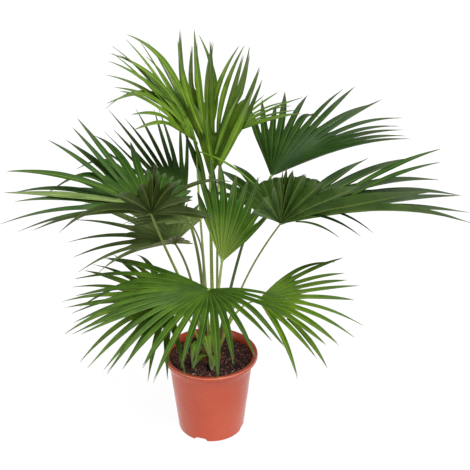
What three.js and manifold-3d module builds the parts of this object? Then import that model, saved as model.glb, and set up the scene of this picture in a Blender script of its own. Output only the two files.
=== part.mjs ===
// Chinese fan palm, Livistona chinensis, in a round nursery pot.
// Millimetres, +Z up. The origin is the middle of the pot's flat underside.
// Thirteen fan-shaped fronds stand on tapering stalks round a short trunk inside the crown.
import * as THREE from "three";
import Module from "manifold-3d";

const solids = await Module();
solids.setup();

// ---------------------------------------------------------------- pot sizes
const POT_HEIGHT = 190;
const FOOT_RADIUS = 69;
const WALL_FOOT_RADIUS = 74;
const WALL_TOP_RADIUS = 93.5;
const COLLAR_BOTTOM = 181;
const COLLAR_RADIUS = 104.5;
const MOUTH_RADIUS = 95;
const SHOULDER_Z = 163;
const SHOULDER_STEP = 1.2;
const FLOOR_THICKNESS = 3;
const FLOOR_RADIUS = 52;
const HEEL_RADIUS = 68;
const HEEL_HEIGHT = 12;
const POT_SIDES = 48;
const NOTCH_COUNT = 4;
const NOTCH_FIRST_ANGLE = -107.6;
const NOTCH_WIDTH = 29;
const NOTCH_HEIGHT = 8;
const NOTCH_DEPTH_RADIUS = 63;

// --------------------------------------------------------------- soil sizes
const SOIL_TOP = 176;
const SOIL_FLAT_RADIUS = 34;
const SOIL_SWELL = 1.6;
const SOIL_AIR = 0.6;

// -------------------------------------------------------------- trunk sizes
const TRUNK_FOOT = SOIL_TOP + 0.35;
const TRUNK_TOP = 236;
const TRUNK_FLARE_RADIUS = 27;
const TRUNK_LOW_RADIUS = 17;
const TRUNK_TIP_RADIUS = 13;
const TRUNK_LEAN = 5;
const TRUNK_SIDES = 20;
const TRUNK_STATIONS = [0, 0.08, 0.25, 0.6, 0.9, 1];

// -------------------------------------------------------------- stalk sizes
const STALK_FOOT_RADIUS = 4.4;
const STALK_TIP_RADIUS = 2.6;
const STALK_SIDES = 8;
const STALK_RINGS = 9;
const TOP_FOOT_RADIUS = 8.6;
const SEAT_AIR = 0.45;

// -------------------------------------------------------- shared fan values
const SAG_POWER = 2.4;
const PLEAT = 0.3;
const TAPER_POWER = 2.2;
const BLADE_THICKNESS_SHARE = 0.0108;
const BLADE_MIN_THICKNESS = 3.1;
const LENGTH_SPREAD = 0.2;
const SIDE_SPREAD = 0.14;
const DROP_SPREAD = 0.14;
const LEAFLET_STATIONS = [0.36, 0.7];

// Each frond: hub is where the stalk meets the fan. bearing, rise and roll aim its midrib in degrees.
// reach is its longest leaflet, side the share of it left at the fan's edge, skew tips it to one side.
// spread is half the angle of the fan, cup lifts its leaflets, fold lifts the left side's and the right
// side's further, swell widens them before they taper, sag is how far their tips fall.
// split is where the leaflets part, foot the stalk's seat on the trunk as bearing and height: the
// youngest four stand on the trunk's flat tip and the others on its side. aim is the way the stalk
// arrives. short lists first and last leaflets kept only to a share of their free length.
const FRONDS = [
  {
    name: "front_low",
    hub: [3, -140, 430], bearing: -118, rise: -6, roll: -5, reach: 264, side: 0.91,
    skew: -0.27, spread: 101, cup: 8, fold: [0, 0], sag: 0.2, split: 0.36,
    leaflets: 23, swell: 0.35, foot: [-94, 208], aim: [-0.1, -0.6, 0.5],
    short: [],
  },
  {
    name: "right_low",
    hub: [101, -100, 381], bearing: -14, rise: 3, roll: -14, reach: 213, side: 1,
    skew: 0, spread: 58, cup: 10, fold: [0, 0], sag: 0.2, split: 0.38,
    leaflets: 12, swell: 0.35, foot: [-48, 203], aim: [0.7, -0.5, 0.4],
    short: [],
  },
  {
    name: "left_low",
    hub: [-87, -50, 347], bearing: 197, rise: 0, roll: 14, reach: 218, side: 0.92,
    skew: 0, spread: 90, cup: 8, fold: [0, 0], sag: 0.22, split: 0.38,
    leaflets: 17, swell: 0.35, foot: [208, 202], aim: [-0.8, -0.3, 0.4],
    short: [],
  },
  {
    name: "left_middle",
    hub: [-76, 60, 430], bearing: 188, rise: 2, roll: 18, reach: 245, side: 0.8,
    skew: -0.3, spread: 140, cup: 14, fold: [45, 0], sag: 0.25, split: 0.42,
    leaflets: 22, swell: 0.35, foot: [150, 212], aim: [-0.5, 0.1, 0.8],
    short: [[0, 4, 0.3], [14, 14, 0.6], [15, 20, 0.3], [21, 21, 0.25]],
  },
  {
    name: "left_high",
    hub: [-114, -60, 558], bearing: 185, rise: 5, roll: 21, reach: 300, side: 0.84,
    skew: 0.05, spread: 160, cup: 14, fold: [84, 0], sag: 0.25, split: 0.37,
    leaflets: 32, swell: 0.35, foot: [237, 208], aim: [-0.3, 0, 1],
    short: [[0, 7, 0.15], [8, 8, 0.7], [20, 20, 0.5], [21, 27, 0.3], [28, 30, 0.55], [31, 31, 0.4]],
  },
  {
    name: "back_left",
    hub: [-54, 60, 511], bearing: 127, rise: 43, roll: 0, reach: 268, side: 0.85,
    skew: 0, spread: 34, cup: 0, fold: [0, 0], sag: 0.05, split: 0.42,
    leaflets: 10, swell: 0.35, foot: [115, 208], aim: [-0.4, 0.3, 0.85],
    short: [],
  },
  {
    name: "top_left",
    hub: [-24, 50, 666], bearing: 166, rise: 57, roll: 0, reach: 318, side: 0.72,
    skew: -0.22, spread: 38, cup: 0, fold: [0, 0], sag: 0.25, split: 0.34,
    leaflets: 12, swell: 0.4, foot: [168, TRUNK_TOP], aim: [0.0, 0.08, 1],
    short: [],
  },
  {
    name: "top_centre",
    hub: [1, 85, 573], bearing: 0, rise: 83, roll: -70, reach: 328, side: 0.86,
    skew: 0.05, spread: 22, cup: 4, fold: [0, 0], sag: 0.02, split: 0.3,
    leaflets: 10, swell: 2.3, foot: [90, TRUNK_TOP], aim: [0, 0.05, 1],
    short: [[4, 4, 0.05]],
  },
  {
    name: "top_right",
    hub: [25, 110, 655], bearing: 20, rise: 24, roll: 0, reach: 195, side: 0.9,
    skew: 0, spread: 28, cup: 5, fold: [0, 0], sag: 0.16, split: 0.28,
    leaflets: 8, swell: 0.35, foot: [15, TRUNK_TOP], aim: [0.1, 0.12, 1],
    short: [],
  },
  {
    name: "right_high",
    hub: [132, 130, 557], bearing: 46, rise: 4, roll: 4, reach: 354, side: 0.88,
    skew: -0.1, spread: 58, cup: 25, fold: [0, 0], sag: 0.2, split: 0.48,
    leaflets: 15, swell: 0.35, foot: [42, 208], aim: [0.5, 0.3, 0.85],
    short: [],
  },
  {
    name: "right_middle",
    hub: [144, -90, 551], bearing: 10, rise: 3, roll: -9, reach: 395, side: 0.66,
    skew: 0, spread: 140, cup: 14, fold: [0, 64], sag: 0.22, split: 0.38,
    leaflets: 28, swell: 0.35, foot: [-10, 208], aim: [0.5, -0.1, 0.8],
    short: [[0, 8, 0.25], [9, 9, 0.5], [17, 17, 0.6], [18, 23, 0.05], [24, 27, 0.5]],
  },
  {
    name: "centre_young",
    hub: [27, -70, 453], bearing: 0, rise: 81, roll: -62, reach: 222, side: 0.86,
    skew: 0.16, spread: 34, cup: 0, fold: [0, 0], sag: 0.03, split: 0.5,
    leaflets: 9, swell: 0.35, foot: [-60, TRUNK_TOP], aim: [0.1, -0.3, 1],
    short: [[8, 8, 0.4]],
  },
  {
    name: "back_middle",
    hub: [-38, 0, 508], bearing: 165, rise: 0, roll: 0, reach: 150, side: 0.75,
    skew: 0, spread: 46, cup: 15, fold: [0, 0], sag: 0.25, split: 0.5,
    leaflets: 10, swell: 0.35, foot: [180, 212], aim: [-0.5, -0.1, 0.85],
    short: [[9, 9, 0.15]],
  },
];

// Young strap leaves that hang over the soil: seat on the trunk as bearing and height, tip, arch and width.
const STRAPS = [
  { name: "strap_right", foot: [-72, 190], tip: [4, -66, 184], arch: 14, width: 13 },
  { name: "strap_left", foot: [-112, 190], tip: [-40, -58, 184], arch: 12, width: 10 },
];

// ---------------------------------------------------------------- materials
const PAINTS = {
  pot: { color: 0xc4614c, roughness: 0.5 },
  soil: { color: 0x3a2a1e, roughness: 0.95 },
  trunk: { color: 0x6b4a2c, roughness: 0.9 },
  stalk: { color: 0x7d9a45, roughness: 0.55 },
  blade: { color: 0x4f7a2c, roughness: 0.6 },
  strap: { color: 0x7fae35, roughness: 0.6 },
};

const group = new THREE.Group();
group.name = "chinese_fan_palm";

function addNode(name, geometry, paint) {
  const material = new THREE.MeshStandardMaterial({ ...PAINTS[paint], metalness: 0 });
  const mesh = new THREE.Mesh(geometry, material);
  mesh.name = name;
  group.add(mesh);
}

const radians = THREE.MathUtils.degToRad;
const vector = (x, y, z) => new THREE.Vector3(x, y, z);

// A point at a bearing and a radius from the pot's axis.
function polar(degrees, radius, z) {
  return vector(radius * Math.cos(radians(degrees)), radius * Math.sin(radians(degrees)), z);
}

// A steady number between 0 and 1 from three whole numbers.
function chance(a, b, c) {
  const value = Math.sin(a * 12.9898 + b * 78.233 + c * 37.719) * 43758.5453;
  return value - Math.floor(value);
}

// A closed geometry from shared corners and the faces between them.
function closedGeometry(corners, faces) {
  const geometry = new THREE.BufferGeometry();
  const flat = corners.flatMap((corner) => [corner.x, corner.y, corner.z]);
  geometry.setAttribute("position", new THREE.Float32BufferAttribute(flat, 3));
  geometry.setIndex(faces.flat());
  geometry.computeVertexNormals();
  return geometry;
}

// A skin over rings of equal count, closed at both ends by flat fans.
function skinRings(rings) {
  const count = rings[0].length;
  const corners = rings.flat();
  const faces = [];
  for (let ring = 0; ring + 1 < rings.length; ring += 1) {
    for (let side = 0; side < count; side += 1) {
      const a = ring * count + side;
      const b = ring * count + ((side + 1) % count);
      faces.push([a, b, b + count], [a, b + count, a + count]);
    }
  }
  const last = (rings.length - 1) * count;
  for (let side = 1; side + 1 < count; side += 1) {
    faces.push([0, side + 1, side], [last, last + side, last + side + 1]);
  }
  return closedGeometry(corners, faces);
}

// ---------------------------------------------------------------------- pot
function solidFrom(geometry) {
  const positions = geometry.getAttribute("position");
  const keys = new Map();
  const vertProperties = [];
  const remap = [];
  for (let i = 0; i < positions.count; i += 1) {
    const xyz = [positions.getX(i), positions.getY(i), positions.getZ(i)];
    const key = xyz.map((value) => Math.round(value * 1000)).join(",");
    if (!keys.has(key)) {
      keys.set(key, vertProperties.length / 3);
      vertProperties.push(...xyz);
    }
    remap.push(keys.get(key));
  }
  const triVerts = [];
  for (let i = 0; i < geometry.index.count; i += 3) {
    const face = [0, 1, 2].map((corner) => remap[geometry.index.getX(i + corner)]);
    if (new Set(face).size === 3) triVerts.push(...face);
  }
  return new solids.Manifold(
    new solids.Mesh({
      numProp: 3,
      vertProperties: new Float32Array(vertProperties),
      triVerts: new Uint32Array(triVerts),
    }),
  );
}

function geometryFrom(solid) {
  const mesh = solid.getMesh();
  const geometry = new THREE.BufferGeometry();
  geometry.setAttribute("position", new THREE.BufferAttribute(mesh.vertProperties, 3));
  geometry.setIndex(new THREE.BufferAttribute(mesh.triVerts, 1));
  return geometry;
}

// A lathe turned so that its axis is +Z, from a profile of radius and height pairs.
function turned(profile, sides) {
  const points = profile.map(([radius, z]) => new THREE.Vector2(radius, z));
  return new THREE.LatheGeometry(points, sides).rotateX(Math.PI / 2);
}

function wallRadiusAt(z) {
  const share = (z - 5) / (COLLAR_BOTTOM - 5);
  return WALL_FOOT_RADIUS + share * (WALL_TOP_RADIUS - WALL_FOOT_RADIUS);
}

function notchSolid(degrees) {
  const half = NOTCH_WIDTH / 2;
  const shape = new THREE.Shape();
  shape.moveTo(-half, -2);
  shape.lineTo(half, -2);
  shape.lineTo(half - 1, 2);
  shape.lineTo(half - 5, NOTCH_HEIGHT - 2);
  shape.lineTo(half - 9, NOTCH_HEIGHT);
  shape.lineTo(9 - half, NOTCH_HEIGHT);
  shape.lineTo(5 - half, NOTCH_HEIGHT - 2);
  shape.lineTo(1 - half, 2);
  shape.closePath();
  const block = new THREE.ExtrudeGeometry(shape, { depth: 20, bevelEnabled: false, curveSegments: 1 });
  block.rotateX(Math.PI / 2).rotateZ(Math.PI / 2);
  block.translate(NOTCH_DEPTH_RADIUS, 0, 0).rotateZ(radians(degrees));
  const indexed = block.index ? block : weldIndex(block);
  return solidFrom(indexed);
}

// Gives an unindexed geometry the plain running index.
function weldIndex(geometry) {
  geometry.setIndex([...Array(geometry.getAttribute("position").count).keys()]);
  return geometry;
}

function makePot() {
  const profile = [
    [0, 0],
    [FOOT_RADIUS, 0],
    [WALL_FOOT_RADIUS - 1.5, 1.4],
    [WALL_FOOT_RADIUS, 5],
    [wallRadiusAt(SHOULDER_Z), SHOULDER_Z],
    [wallRadiusAt(SHOULDER_Z) + SHOULDER_STEP, SHOULDER_Z + 2],
    [WALL_TOP_RADIUS + SHOULDER_STEP, COLLAR_BOTTOM],
    [COLLAR_RADIUS - 2, COLLAR_BOTTOM + 0.4],
    [COLLAR_RADIUS, COLLAR_BOTTOM + 2.4],
    [COLLAR_RADIUS, POT_HEIGHT - 3.2],
    [COLLAR_RADIUS - 2.2, POT_HEIGHT - 0.7],
    [COLLAR_RADIUS - 5, POT_HEIGHT],
    [MOUTH_RADIUS + 1.6, POT_HEIGHT - 0.6],
    [MOUTH_RADIUS, POT_HEIGHT - 3],
    [wallRadiusAt(SHOULDER_Z) - 2.2, SHOULDER_Z - 4],
    [HEEL_RADIUS, HEEL_HEIGHT],
    [FLOOR_RADIUS, FLOOR_THICKNESS],
    [0, FLOOR_THICKNESS],
  ];
  let pot = solidFrom(turned(profile, POT_SIDES));
  for (let i = 0; i < NOTCH_COUNT; i += 1) {
    pot = pot.subtract(notchSolid(NOTCH_FIRST_ANGLE + (i * 360) / NOTCH_COUNT));
  }
  return geometryFrom(pot);
}

// --------------------------------------------------------------------- soil
function soilHeight(bearing, radius) {
  const share = Math.max(0, (radius - SOIL_FLAT_RADIUS) / (MOUTH_RADIUS - SOIL_FLAT_RADIUS));
  const swell = Math.sin(3 * bearing + 0.6) + 0.7 * Math.sin(5 * bearing + 2 + radius / 18);
  return SOIL_TOP + SOIL_SWELL * share * (1 - 0.5 * share) * swell;
}

// The soil's upper ring radius follows the pot's inner wall at its height.
function makeSoil() {
  const inner = (z) => {
    const top = wallRadiusAt(SHOULDER_Z) - 2.2;
    const share = (z - HEEL_HEIGHT) / (SHOULDER_Z - 4 - HEEL_HEIGHT);
    return HEEL_RADIUS + share * (top - HEEL_RADIUS) - SOIL_AIR;
  };
  const rings = [
    [FLOOR_RADIUS - 2, FLOOR_THICKNESS + 0.5, false],
    [HEEL_RADIUS - 1.5, HEEL_HEIGHT + 1, false],
    [inner(SHOULDER_Z - 6), SHOULDER_Z - 6, false],
    [inner(SOIL_TOP - 4) - 0.8, SOIL_TOP - 4, false],
    [inner(SOIL_TOP) - 2.6, SOIL_TOP, true],
    [78, SOIL_TOP, true],
    [58, SOIL_TOP, true],
    [SOIL_FLAT_RADIUS, SOIL_TOP, true],
  ];
  return skinRings(
    rings.map(([radius, z, uneven]) => {
      const ring = [];
      for (let side = 0; side < POT_SIDES; side += 1) {
        const bearing = (2 * Math.PI * side) / POT_SIDES;
        const height = uneven ? soilHeight(bearing, radius) : z;
        ring.push(vector(radius * Math.cos(bearing), radius * Math.sin(bearing), height));
      }
      return ring;
    }),
  );
}

// -------------------------------------------------------------------- trunk
// The trunk's ring at a share of its height: its middle, which leans, and its radius.
function trunkRing(share) {
  const flare = (TRUNK_FLARE_RADIUS - TRUNK_LOW_RADIUS) * Math.exp(-share * 9);
  return {
    middle: vector(TRUNK_LEAN * share, 0, TRUNK_FOOT + share * (TRUNK_TOP - TRUNK_FOOT)),
    radius: TRUNK_LOW_RADIUS + flare + (TRUNK_TIP_RADIUS - TRUNK_LOW_RADIUS) * share ** 1.6,
  };
}

function makeTrunk() {
  return skinRings(
    TRUNK_STATIONS.map((share) => {
      const { middle, radius } = trunkRing(share);
      const ring = [];
      for (let side = 0; side < TRUNK_SIDES; side += 1) {
        ring.push(polar((360 * side) / TRUNK_SIDES, radius, 0).add(middle));
      }
      return ring;
    }),
  );
}

// How far a point lies outside the trunk's flat-sided skin, or a long way for one above its tip.
function trunkGap(point) {
  const share = (point.z - TRUNK_FOOT) / (TRUNK_TOP - TRUNK_FOOT);
  if (share > 1) return TRUNK_TOP;
  const upper = Math.max(1, TRUNK_STATIONS.findIndex((station) => station >= share));
  const [low, high] = [trunkRing(TRUNK_STATIONS[upper - 1]), trunkRing(TRUNK_STATIONS[upper])];
  const blend = (point.z - low.middle.z) / (high.middle.z - low.middle.z);
  const middle = low.middle.clone().lerp(high.middle, blend);
  const radius = low.radius + blend * (high.radius - low.radius);
  const side = (2 * Math.PI) / TRUNK_SIDES;
  const turn = Math.atan2(point.y - middle.y, point.x - middle.x) + 2 * Math.PI;
  const skin = (radius * Math.cos(side / 2)) / Math.cos((turn % side) - side / 2);
  return Math.hypot(point.x - middle.x, point.y - middle.y) - skin;
}

// The least gap between the trunk and the stretch of skin between two rings.
function stretchGap(lower, upper) {
  let gap = Infinity;
  for (let side = 0; side < lower.length; side += 1) {
    const next = (side + 1) % lower.length;
    for (const across of [0, 0.5]) {
      const start = lower[side].clone().lerp(lower[next], across);
      const end = upper[side].clone().lerp(upper[next], across);
      for (let share = 0; share < 1; share += 0.125) {
        gap = Math.min(gap, trunkGap(start.clone().lerp(end, share)));
      }
    }
  }
  return gap;
}

// Rings whose foot is seated on the trunk: drawRings gives the rings for a foot, which is moved until
// it stands clear of the trunk's side or flat tip by the air that every joint keeps.
function seatOnTrunk([bearing, height], drawRings) {
  const onTip = height >= TRUNK_TOP;
  const middle = trunkRing(Math.min(1, (height - TRUNK_FOOT) / (TRUNK_TOP - TRUNK_FOOT))).middle;
  const foot = polar(bearing, onTip ? TOP_FOOT_RADIUS : TRUNK_FLARE_RADIUS, 0).add(middle);
  const outward = polar(bearing, 1, 0);
  let rings = drawRings(foot);
  for (let pass = 0; pass < 12; pass += 1) {
    if (onTip) foot.z += SEAT_AIR - (Math.min(...rings[0].map((corner) => corner.z)) - TRUNK_TOP);
    else foot.addScaledVector(outward, SEAT_AIR - stretchGap(rings[0], rings[1]));
    rings = drawRings(foot);
  }
  return rings;
}

// --------------------------------------------------------------------- fans
// The fan's own frame: mid runs out along the midrib, left lies across it, up leaves its upper face.
function fanFrame(frond) {
  const bearing = radians(frond.bearing);
  const rise = radians(frond.rise);
  const roll = radians(frond.roll);
  const out = vector(Math.cos(bearing), Math.sin(bearing), 0);
  const mid = out.clone().multiplyScalar(Math.cos(rise)).setZ(Math.sin(rise));
  const level = out.clone().multiplyScalar(-Math.sin(rise)).setZ(Math.cos(rise));
  const across = level.clone().cross(mid);
  const up = level.multiplyScalar(Math.cos(roll)).addScaledVector(across, Math.sin(roll));
  const left = up.clone().cross(mid);
  return { mid, left, up };
}

// How long a leaflet is at an angle from the midrib.
function leafletLength(frond, angle) {
  const share = Math.abs(angle) / radians(frond.spread);
  const side = frond.side * (1 + frond.skew * Math.sign(angle));
  return frond.reach * (1 - (1 - side) * share * share);
}

// A point of the fan's middle surface at an angle from the midrib and a share of the leaflet's length.
function fanPoint(frond, frame, angle, share) {
  const [leftFold, rightFold] = frond.fold;
  const lift = radians(frond.cup + (angle > 0 ? leftFold : rightFold) * Math.sin(angle) ** 2);
  const length = leafletLength(frond, angle);
  const point = vector(...frond.hub);
  point.addScaledVector(frame.mid, length * share * Math.cos(lift) * Math.cos(angle));
  point.addScaledVector(frame.left, length * share * Math.cos(lift) * Math.sin(angle));
  point.addScaledVector(frame.up, length * share * Math.sin(lift));
  point.z -= length * frond.sag * share ** SAG_POWER;
  return point;
}

// The way out of the fan's upper face at a point.
function fanNormal(frond, frame, angle, share) {
  const step = 0.01;
  const across = fanPoint(frond, frame, angle + step, share).sub(fanPoint(frond, frame, angle - step, share));
  const along = fanPoint(frond, frame, angle, share + step).sub(fanPoint(frond, frame, angle, share - step));
  return along.cross(across).normalize();
}

function bladeThickness(frond) {
  return Math.max(BLADE_MIN_THICKNESS, frond.reach * BLADE_THICKNESS_SHARE);
}

// How much of a leaflet's free length is left.
function keptShare(frond, leaflet) {
  const rule = frond.short.find(([first, last]) => leaflet >= first && leaflet <= last);
  return rule ? rule[2] : 1;
}

// The half width of a free leaflet as a share of its root's, at a share of its free length.
function leafletWidth(frond, share) {
  return (1 + frond.swell * share) * (1 - share ** TAPER_POWER);
}

// The fan as one thin pleated solid, its outline cut to the ribs between the leaflets.
function makeBlade(frond, number) {
  const frame = fanFrame(frond);
  const spread = radians(frond.spread);
  const step = (2 * spread) / frond.leaflets;
  const thick = bladeThickness(frond);
  const corners = [];
  const faces = [];
  const put = (point) => corners.push(point) - 1;
  const hub = vector(...frond.hub);
  const hubTop = put(hub.clone().addScaledVector(frame.up, thick / 2));
  const hubBase = put(hub.clone().addScaledVector(frame.up, -thick / 2));

  // Rows of paired corners across the undivided part: even ones are margins, odd ones ribs.
  const rows = [0.5 * frond.split, frond.split].map((share) => {
    const row = [];
    for (let k = 0; k <= 2 * frond.leaflets; k += 1) {
      const angle = -spread + (k * step) / 2;
      const normal = fanNormal(frond, frame, angle, share);
      const half = (leafletLength(frond, angle) * share * step) / 2;
      const pleat = (k % 2 === 0 ? 0.5 : -0.5) * PLEAT * half;
      const middle = fanPoint(frond, frame, angle, share).addScaledVector(normal, pleat);
      row.push([
        put(middle.clone().addScaledVector(normal, thick / 2)),
        put(middle.clone().addScaledVector(normal, -thick / 2)),
      ]);
    }
    return row;
  });
  const [inner, outer] = rows;
  for (let k = 0; k < 2 * frond.leaflets; k += 1) {
    const [a, b, c, d] = [inner[k], inner[k + 1], outer[k], outer[k + 1]];
    faces.push([hubTop, a[0], b[0]], [hubBase, b[1], a[1]]);
    faces.push([a[0], c[0], d[0]], [a[0], d[0], b[0]]);
    faces.push([a[1], d[1], c[1]], [a[1], b[1], d[1]]);
  }
  const last = 2 * frond.leaflets;
  for (const [k, flip] of [[0, false], [last, true]]) {
    const wall = [
      [hubTop, hubBase, inner[k][1]],
      [hubTop, inner[k][1], inner[k][0]],
      [inner[k][0], inner[k][1], outer[k][1]],
      [inner[k][0], outer[k][1], outer[k][0]],
    ];
    faces.push(...(flip ? wall.map(([p, q, r]) => [p, r, q]) : wall));
  }

  for (let i = 0; i < frond.leaflets; i += 1) {
    const angle = -spread + (i + 0.5) * step;
    const length = leafletLength(frond, angle);
    const stretch = 1 + LENGTH_SPREAD * (chance(number, i, 1) - 0.5);
    const kept = keptShare(frond, i);
    const rightEnd = corners[outer[2 * i][0]];
    const leftEnd = corners[outer[2 * i + 2][0]];
    const acrossRoot = leftEnd.clone().sub(rightEnd);
    const half = acrossRoot.length() / 2;
    acrossRoot.normalize();
    const centreAt = (share) => {
      const along = share * kept;
      const point = fanPoint(frond, frame, angle, frond.split + (1 - frond.split) * along * stretch);
      point.addScaledVector(acrossRoot, SIDE_SPREAD * (chance(number, i, 2) - 0.5) * length * along * along);
      point.z -= DROP_SPREAD * (chance(number, i, 3) - 0.5) * length * along * along;
      return point;
    };
    let right = outer[2 * i];
    let rib = outer[2 * i + 1];
    let left = outer[2 * i + 2];
    for (const share of LEAFLET_STATIONS) {
      const centre = centreAt(share);
      const normal = fanNormal(frond, frame, angle, frond.split + (1 - frond.split) * share * kept);
      const width = half * leafletWidth(frond, share);
      const lift = 0.5 * PLEAT * width;
      const edge = (way) =>
        put(centre.clone().addScaledVector(acrossRoot, way * width).addScaledVector(normal, lift));
      const nextRight = edge(-1);
      const nextRib = [
        put(centre.clone().addScaledVector(normal, thick / 2 - lift)),
        put(centre.clone().addScaledVector(normal, -thick / 2 - lift)),
      ];
      const nextLeft = edge(1);
      faces.push([right[0], nextRight, nextRib[0]], [right[0], nextRib[0], rib[0]]);
      faces.push([rib[0], nextRib[0], nextLeft], [rib[0], nextLeft, left[0]]);
      faces.push([right[1], nextRib[1], nextRight], [right[1], rib[1], nextRib[1]]);
      faces.push([rib[1], nextLeft, nextRib[1]], [rib[1], left[1], nextLeft]);
      if (right[0] !== right[1]) {
        faces.push([right[0], right[1], nextRight], [left[0], nextLeft, left[1]]);
      }
      right = [nextRight, nextRight];
      rib = nextRib;
      left = [nextLeft, nextLeft];
    }
    const tip = put(centreAt(1));
    faces.push([right[0], tip, rib[0]], [rib[0], tip, left[0]]);
    faces.push([right[1], rib[1], tip], [rib[1], left[1], tip]);
  }
  return closedGeometry(corners, faces);
}

// ------------------------------------------------------------------- stalks
// Where the stalk ends: its flat end faces along its aim and lies just clear of the fan's hub.
function stalkTip(frond, frame, aim) {
  const spread = radians(frond.spread);
  let lean = 0;
  for (let k = 0; k <= frond.leaflets; k += 1) {
    const ray = fanPoint(frond, frame, -spread + (2 * spread * k) / frond.leaflets, 0.1);
    lean = Math.max(lean, -ray.sub(vector(...frond.hub)).normalize().dot(aim));
  }
  const overhang = (STALK_TIP_RADIUS * lean) / Math.sqrt(1 - lean * lean);
  const back = (Math.abs(aim.dot(frame.up)) * bladeThickness(frond)) / 2 + overhang + SEAT_AIR;
  return vector(...frond.hub).addScaledVector(aim, -back);
}

// The line of a stalk: it leaves the trunk a little steeper than its way out and arrives along its aim.
function stalkCurve(frond, foot) {
  const aim = vector(...frond.aim).normalize();
  const tip = stalkTip(frond, fanFrame(frond), aim);
  const span = tip.distanceTo(foot);
  const outward = tip.clone().sub(foot).normalize();
  const leave = vector(0, 0, 0.35).addScaledVector(outward, 0.65);
  return new THREE.CubicBezierCurve3(
    foot.clone(),
    foot.clone().addScaledVector(leave, 0.4 * span),
    tip.clone().addScaledVector(aim, -0.3 * span),
    tip,
  );
}

function stalkRings(frond, foot) {
  const curve = stalkCurve(frond, foot);
  let side = vector(1, 0, 0);
  const rings = [];
  for (let ring = 0; ring < STALK_RINGS; ring += 1) {
    const share = ring / (STALK_RINGS - 1);
    const middle = curve.getPoint(share);
    const along = curve.getTangent(share);
    side = side.addScaledVector(along, -side.dot(along)).normalize();
    const other = along.clone().cross(side);
    const radius = STALK_FOOT_RADIUS + (STALK_TIP_RADIUS - STALK_FOOT_RADIUS) * share ** 0.7;
    const corners = [];
    for (let k = 0; k < STALK_SIDES; k += 1) {
      const turn = (2 * Math.PI * k) / STALK_SIDES;
      corners.push(
        middle
          .clone()
          .addScaledVector(side, radius * Math.cos(turn))
          .addScaledVector(other, radius * Math.sin(turn)),
      );
    }
    rings.push(corners);
  }
  return rings;
}

function makeStalk(frond) {
  return skinRings(seatOnTrunk(frond.foot, (foot) => stalkRings(frond, foot)));
}

// ------------------------------------------------------------- strap leaves
function strapRings(strap, foot) {
  const tip = vector(...strap.tip);
  const across = tip.clone().sub(foot).cross(vector(0, 0, 1)).normalize();
  return [0, 0.2, 0.42, 0.64, 0.84, 0.97].map((share) => {
    const middle = foot.clone().lerp(tip, share);
    middle.z += strap.arch * 4 * share * (1 - share);
    const width = (strap.width / 2) * (0.45 + 0.55 * Math.sin(Math.PI * Math.min(1, share * 0.62 + 0.2)));
    const half = share > 0.9 ? width * 0.45 : width;
    return [
      middle.clone().addScaledVector(across, -half),
      middle.clone().add(vector(0, 0, 0.9)),
      middle.clone().addScaledVector(across, half),
      middle.clone().add(vector(0, 0, -0.9)),
    ];
  });
}

function makeStrap(strap) {
  return skinRings(seatOnTrunk(strap.foot, (foot) => strapRings(strap, foot)));
}

// ----------------------------------------------------------------- assembly
addNode("pot", makePot(), "pot");
addNode("soil", makeSoil(), "soil");
addNode("trunk", makeTrunk(), "trunk");
FRONDS.forEach((frond, number) => {
  addNode(`stalk_${frond.name}`, makeStalk(frond), "stalk");
  addNode(`frond_${frond.name}`, makeBlade(frond, number), "blade");
});
STRAPS.forEach((strap) => addNode(`leaf_${strap.name}`, makeStrap(strap), "strap"));

export default group;
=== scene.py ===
"""A young Chinese fan palm in a round nursery pot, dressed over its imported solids.

Lengths here are millimetres in the frame of the solids: +Z up, origin under the middle of the pot,
the front towards -Y. They become metres where a mesh is written.
"""
import logging
import math
from dataclasses import dataclass, field
from enum import Enum

import bmesh
import bpy
import numpy as np
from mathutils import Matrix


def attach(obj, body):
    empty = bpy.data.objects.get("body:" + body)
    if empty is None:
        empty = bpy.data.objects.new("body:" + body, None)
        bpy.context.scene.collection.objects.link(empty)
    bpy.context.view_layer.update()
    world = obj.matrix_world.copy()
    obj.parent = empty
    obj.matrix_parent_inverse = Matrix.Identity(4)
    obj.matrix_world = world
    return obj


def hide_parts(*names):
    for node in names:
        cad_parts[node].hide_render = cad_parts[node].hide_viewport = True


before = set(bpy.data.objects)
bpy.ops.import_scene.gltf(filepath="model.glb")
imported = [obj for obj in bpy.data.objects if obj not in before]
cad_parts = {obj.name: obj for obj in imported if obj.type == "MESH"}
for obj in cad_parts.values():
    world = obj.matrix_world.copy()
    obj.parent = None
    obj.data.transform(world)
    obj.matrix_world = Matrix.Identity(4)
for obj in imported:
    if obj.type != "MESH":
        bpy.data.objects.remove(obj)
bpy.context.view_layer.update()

LOG = logging.getLogger("fan_palm")
BODY = "root"
MM = 0.001

RIPPLES = 5
UP = np.array([0.0, 0.0, 1.0])

Array = np.ndarray
Triple = tuple[float, float, float]
Material = bpy.types.Material
Socket = bpy.types.NodeSocket


# ------------------------------------------------------------------------------------ arithmetic
def chance(a: Array | float, b: Array | float, c: float) -> Array:
    """A steady number between 0 and 1 from three whole numbers.

    Formula: the fraction of 43758.5453 times the sine of a weighted sum of the three.

    Args:
        a: First number or array.
        b: Second number or array.
        c: Third number.

    Returns:
        An array of the shape that a and b broadcast to.
    """
    mixed = np.asarray(a, float) * 12.9898 + np.asarray(b, float) * 78.233 + c * 37.719
    value = np.sin(mixed) * 43758.5453
    return value - np.floor(value)


def unit(vectors: Array) -> Array:
    """Vectors along the last axis scaled to length 1."""
    return vectors / np.maximum(np.linalg.norm(vectors, axis=-1, keepdims=True), 1e-12)


def ease(value: Array, low: float, high: float) -> Array:
    """A smooth step from 0 at low to 1 at high."""
    share = np.clip((value - low) / (high - low), 0, 1)
    return share * share * (3 - 2 * share)


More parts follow.
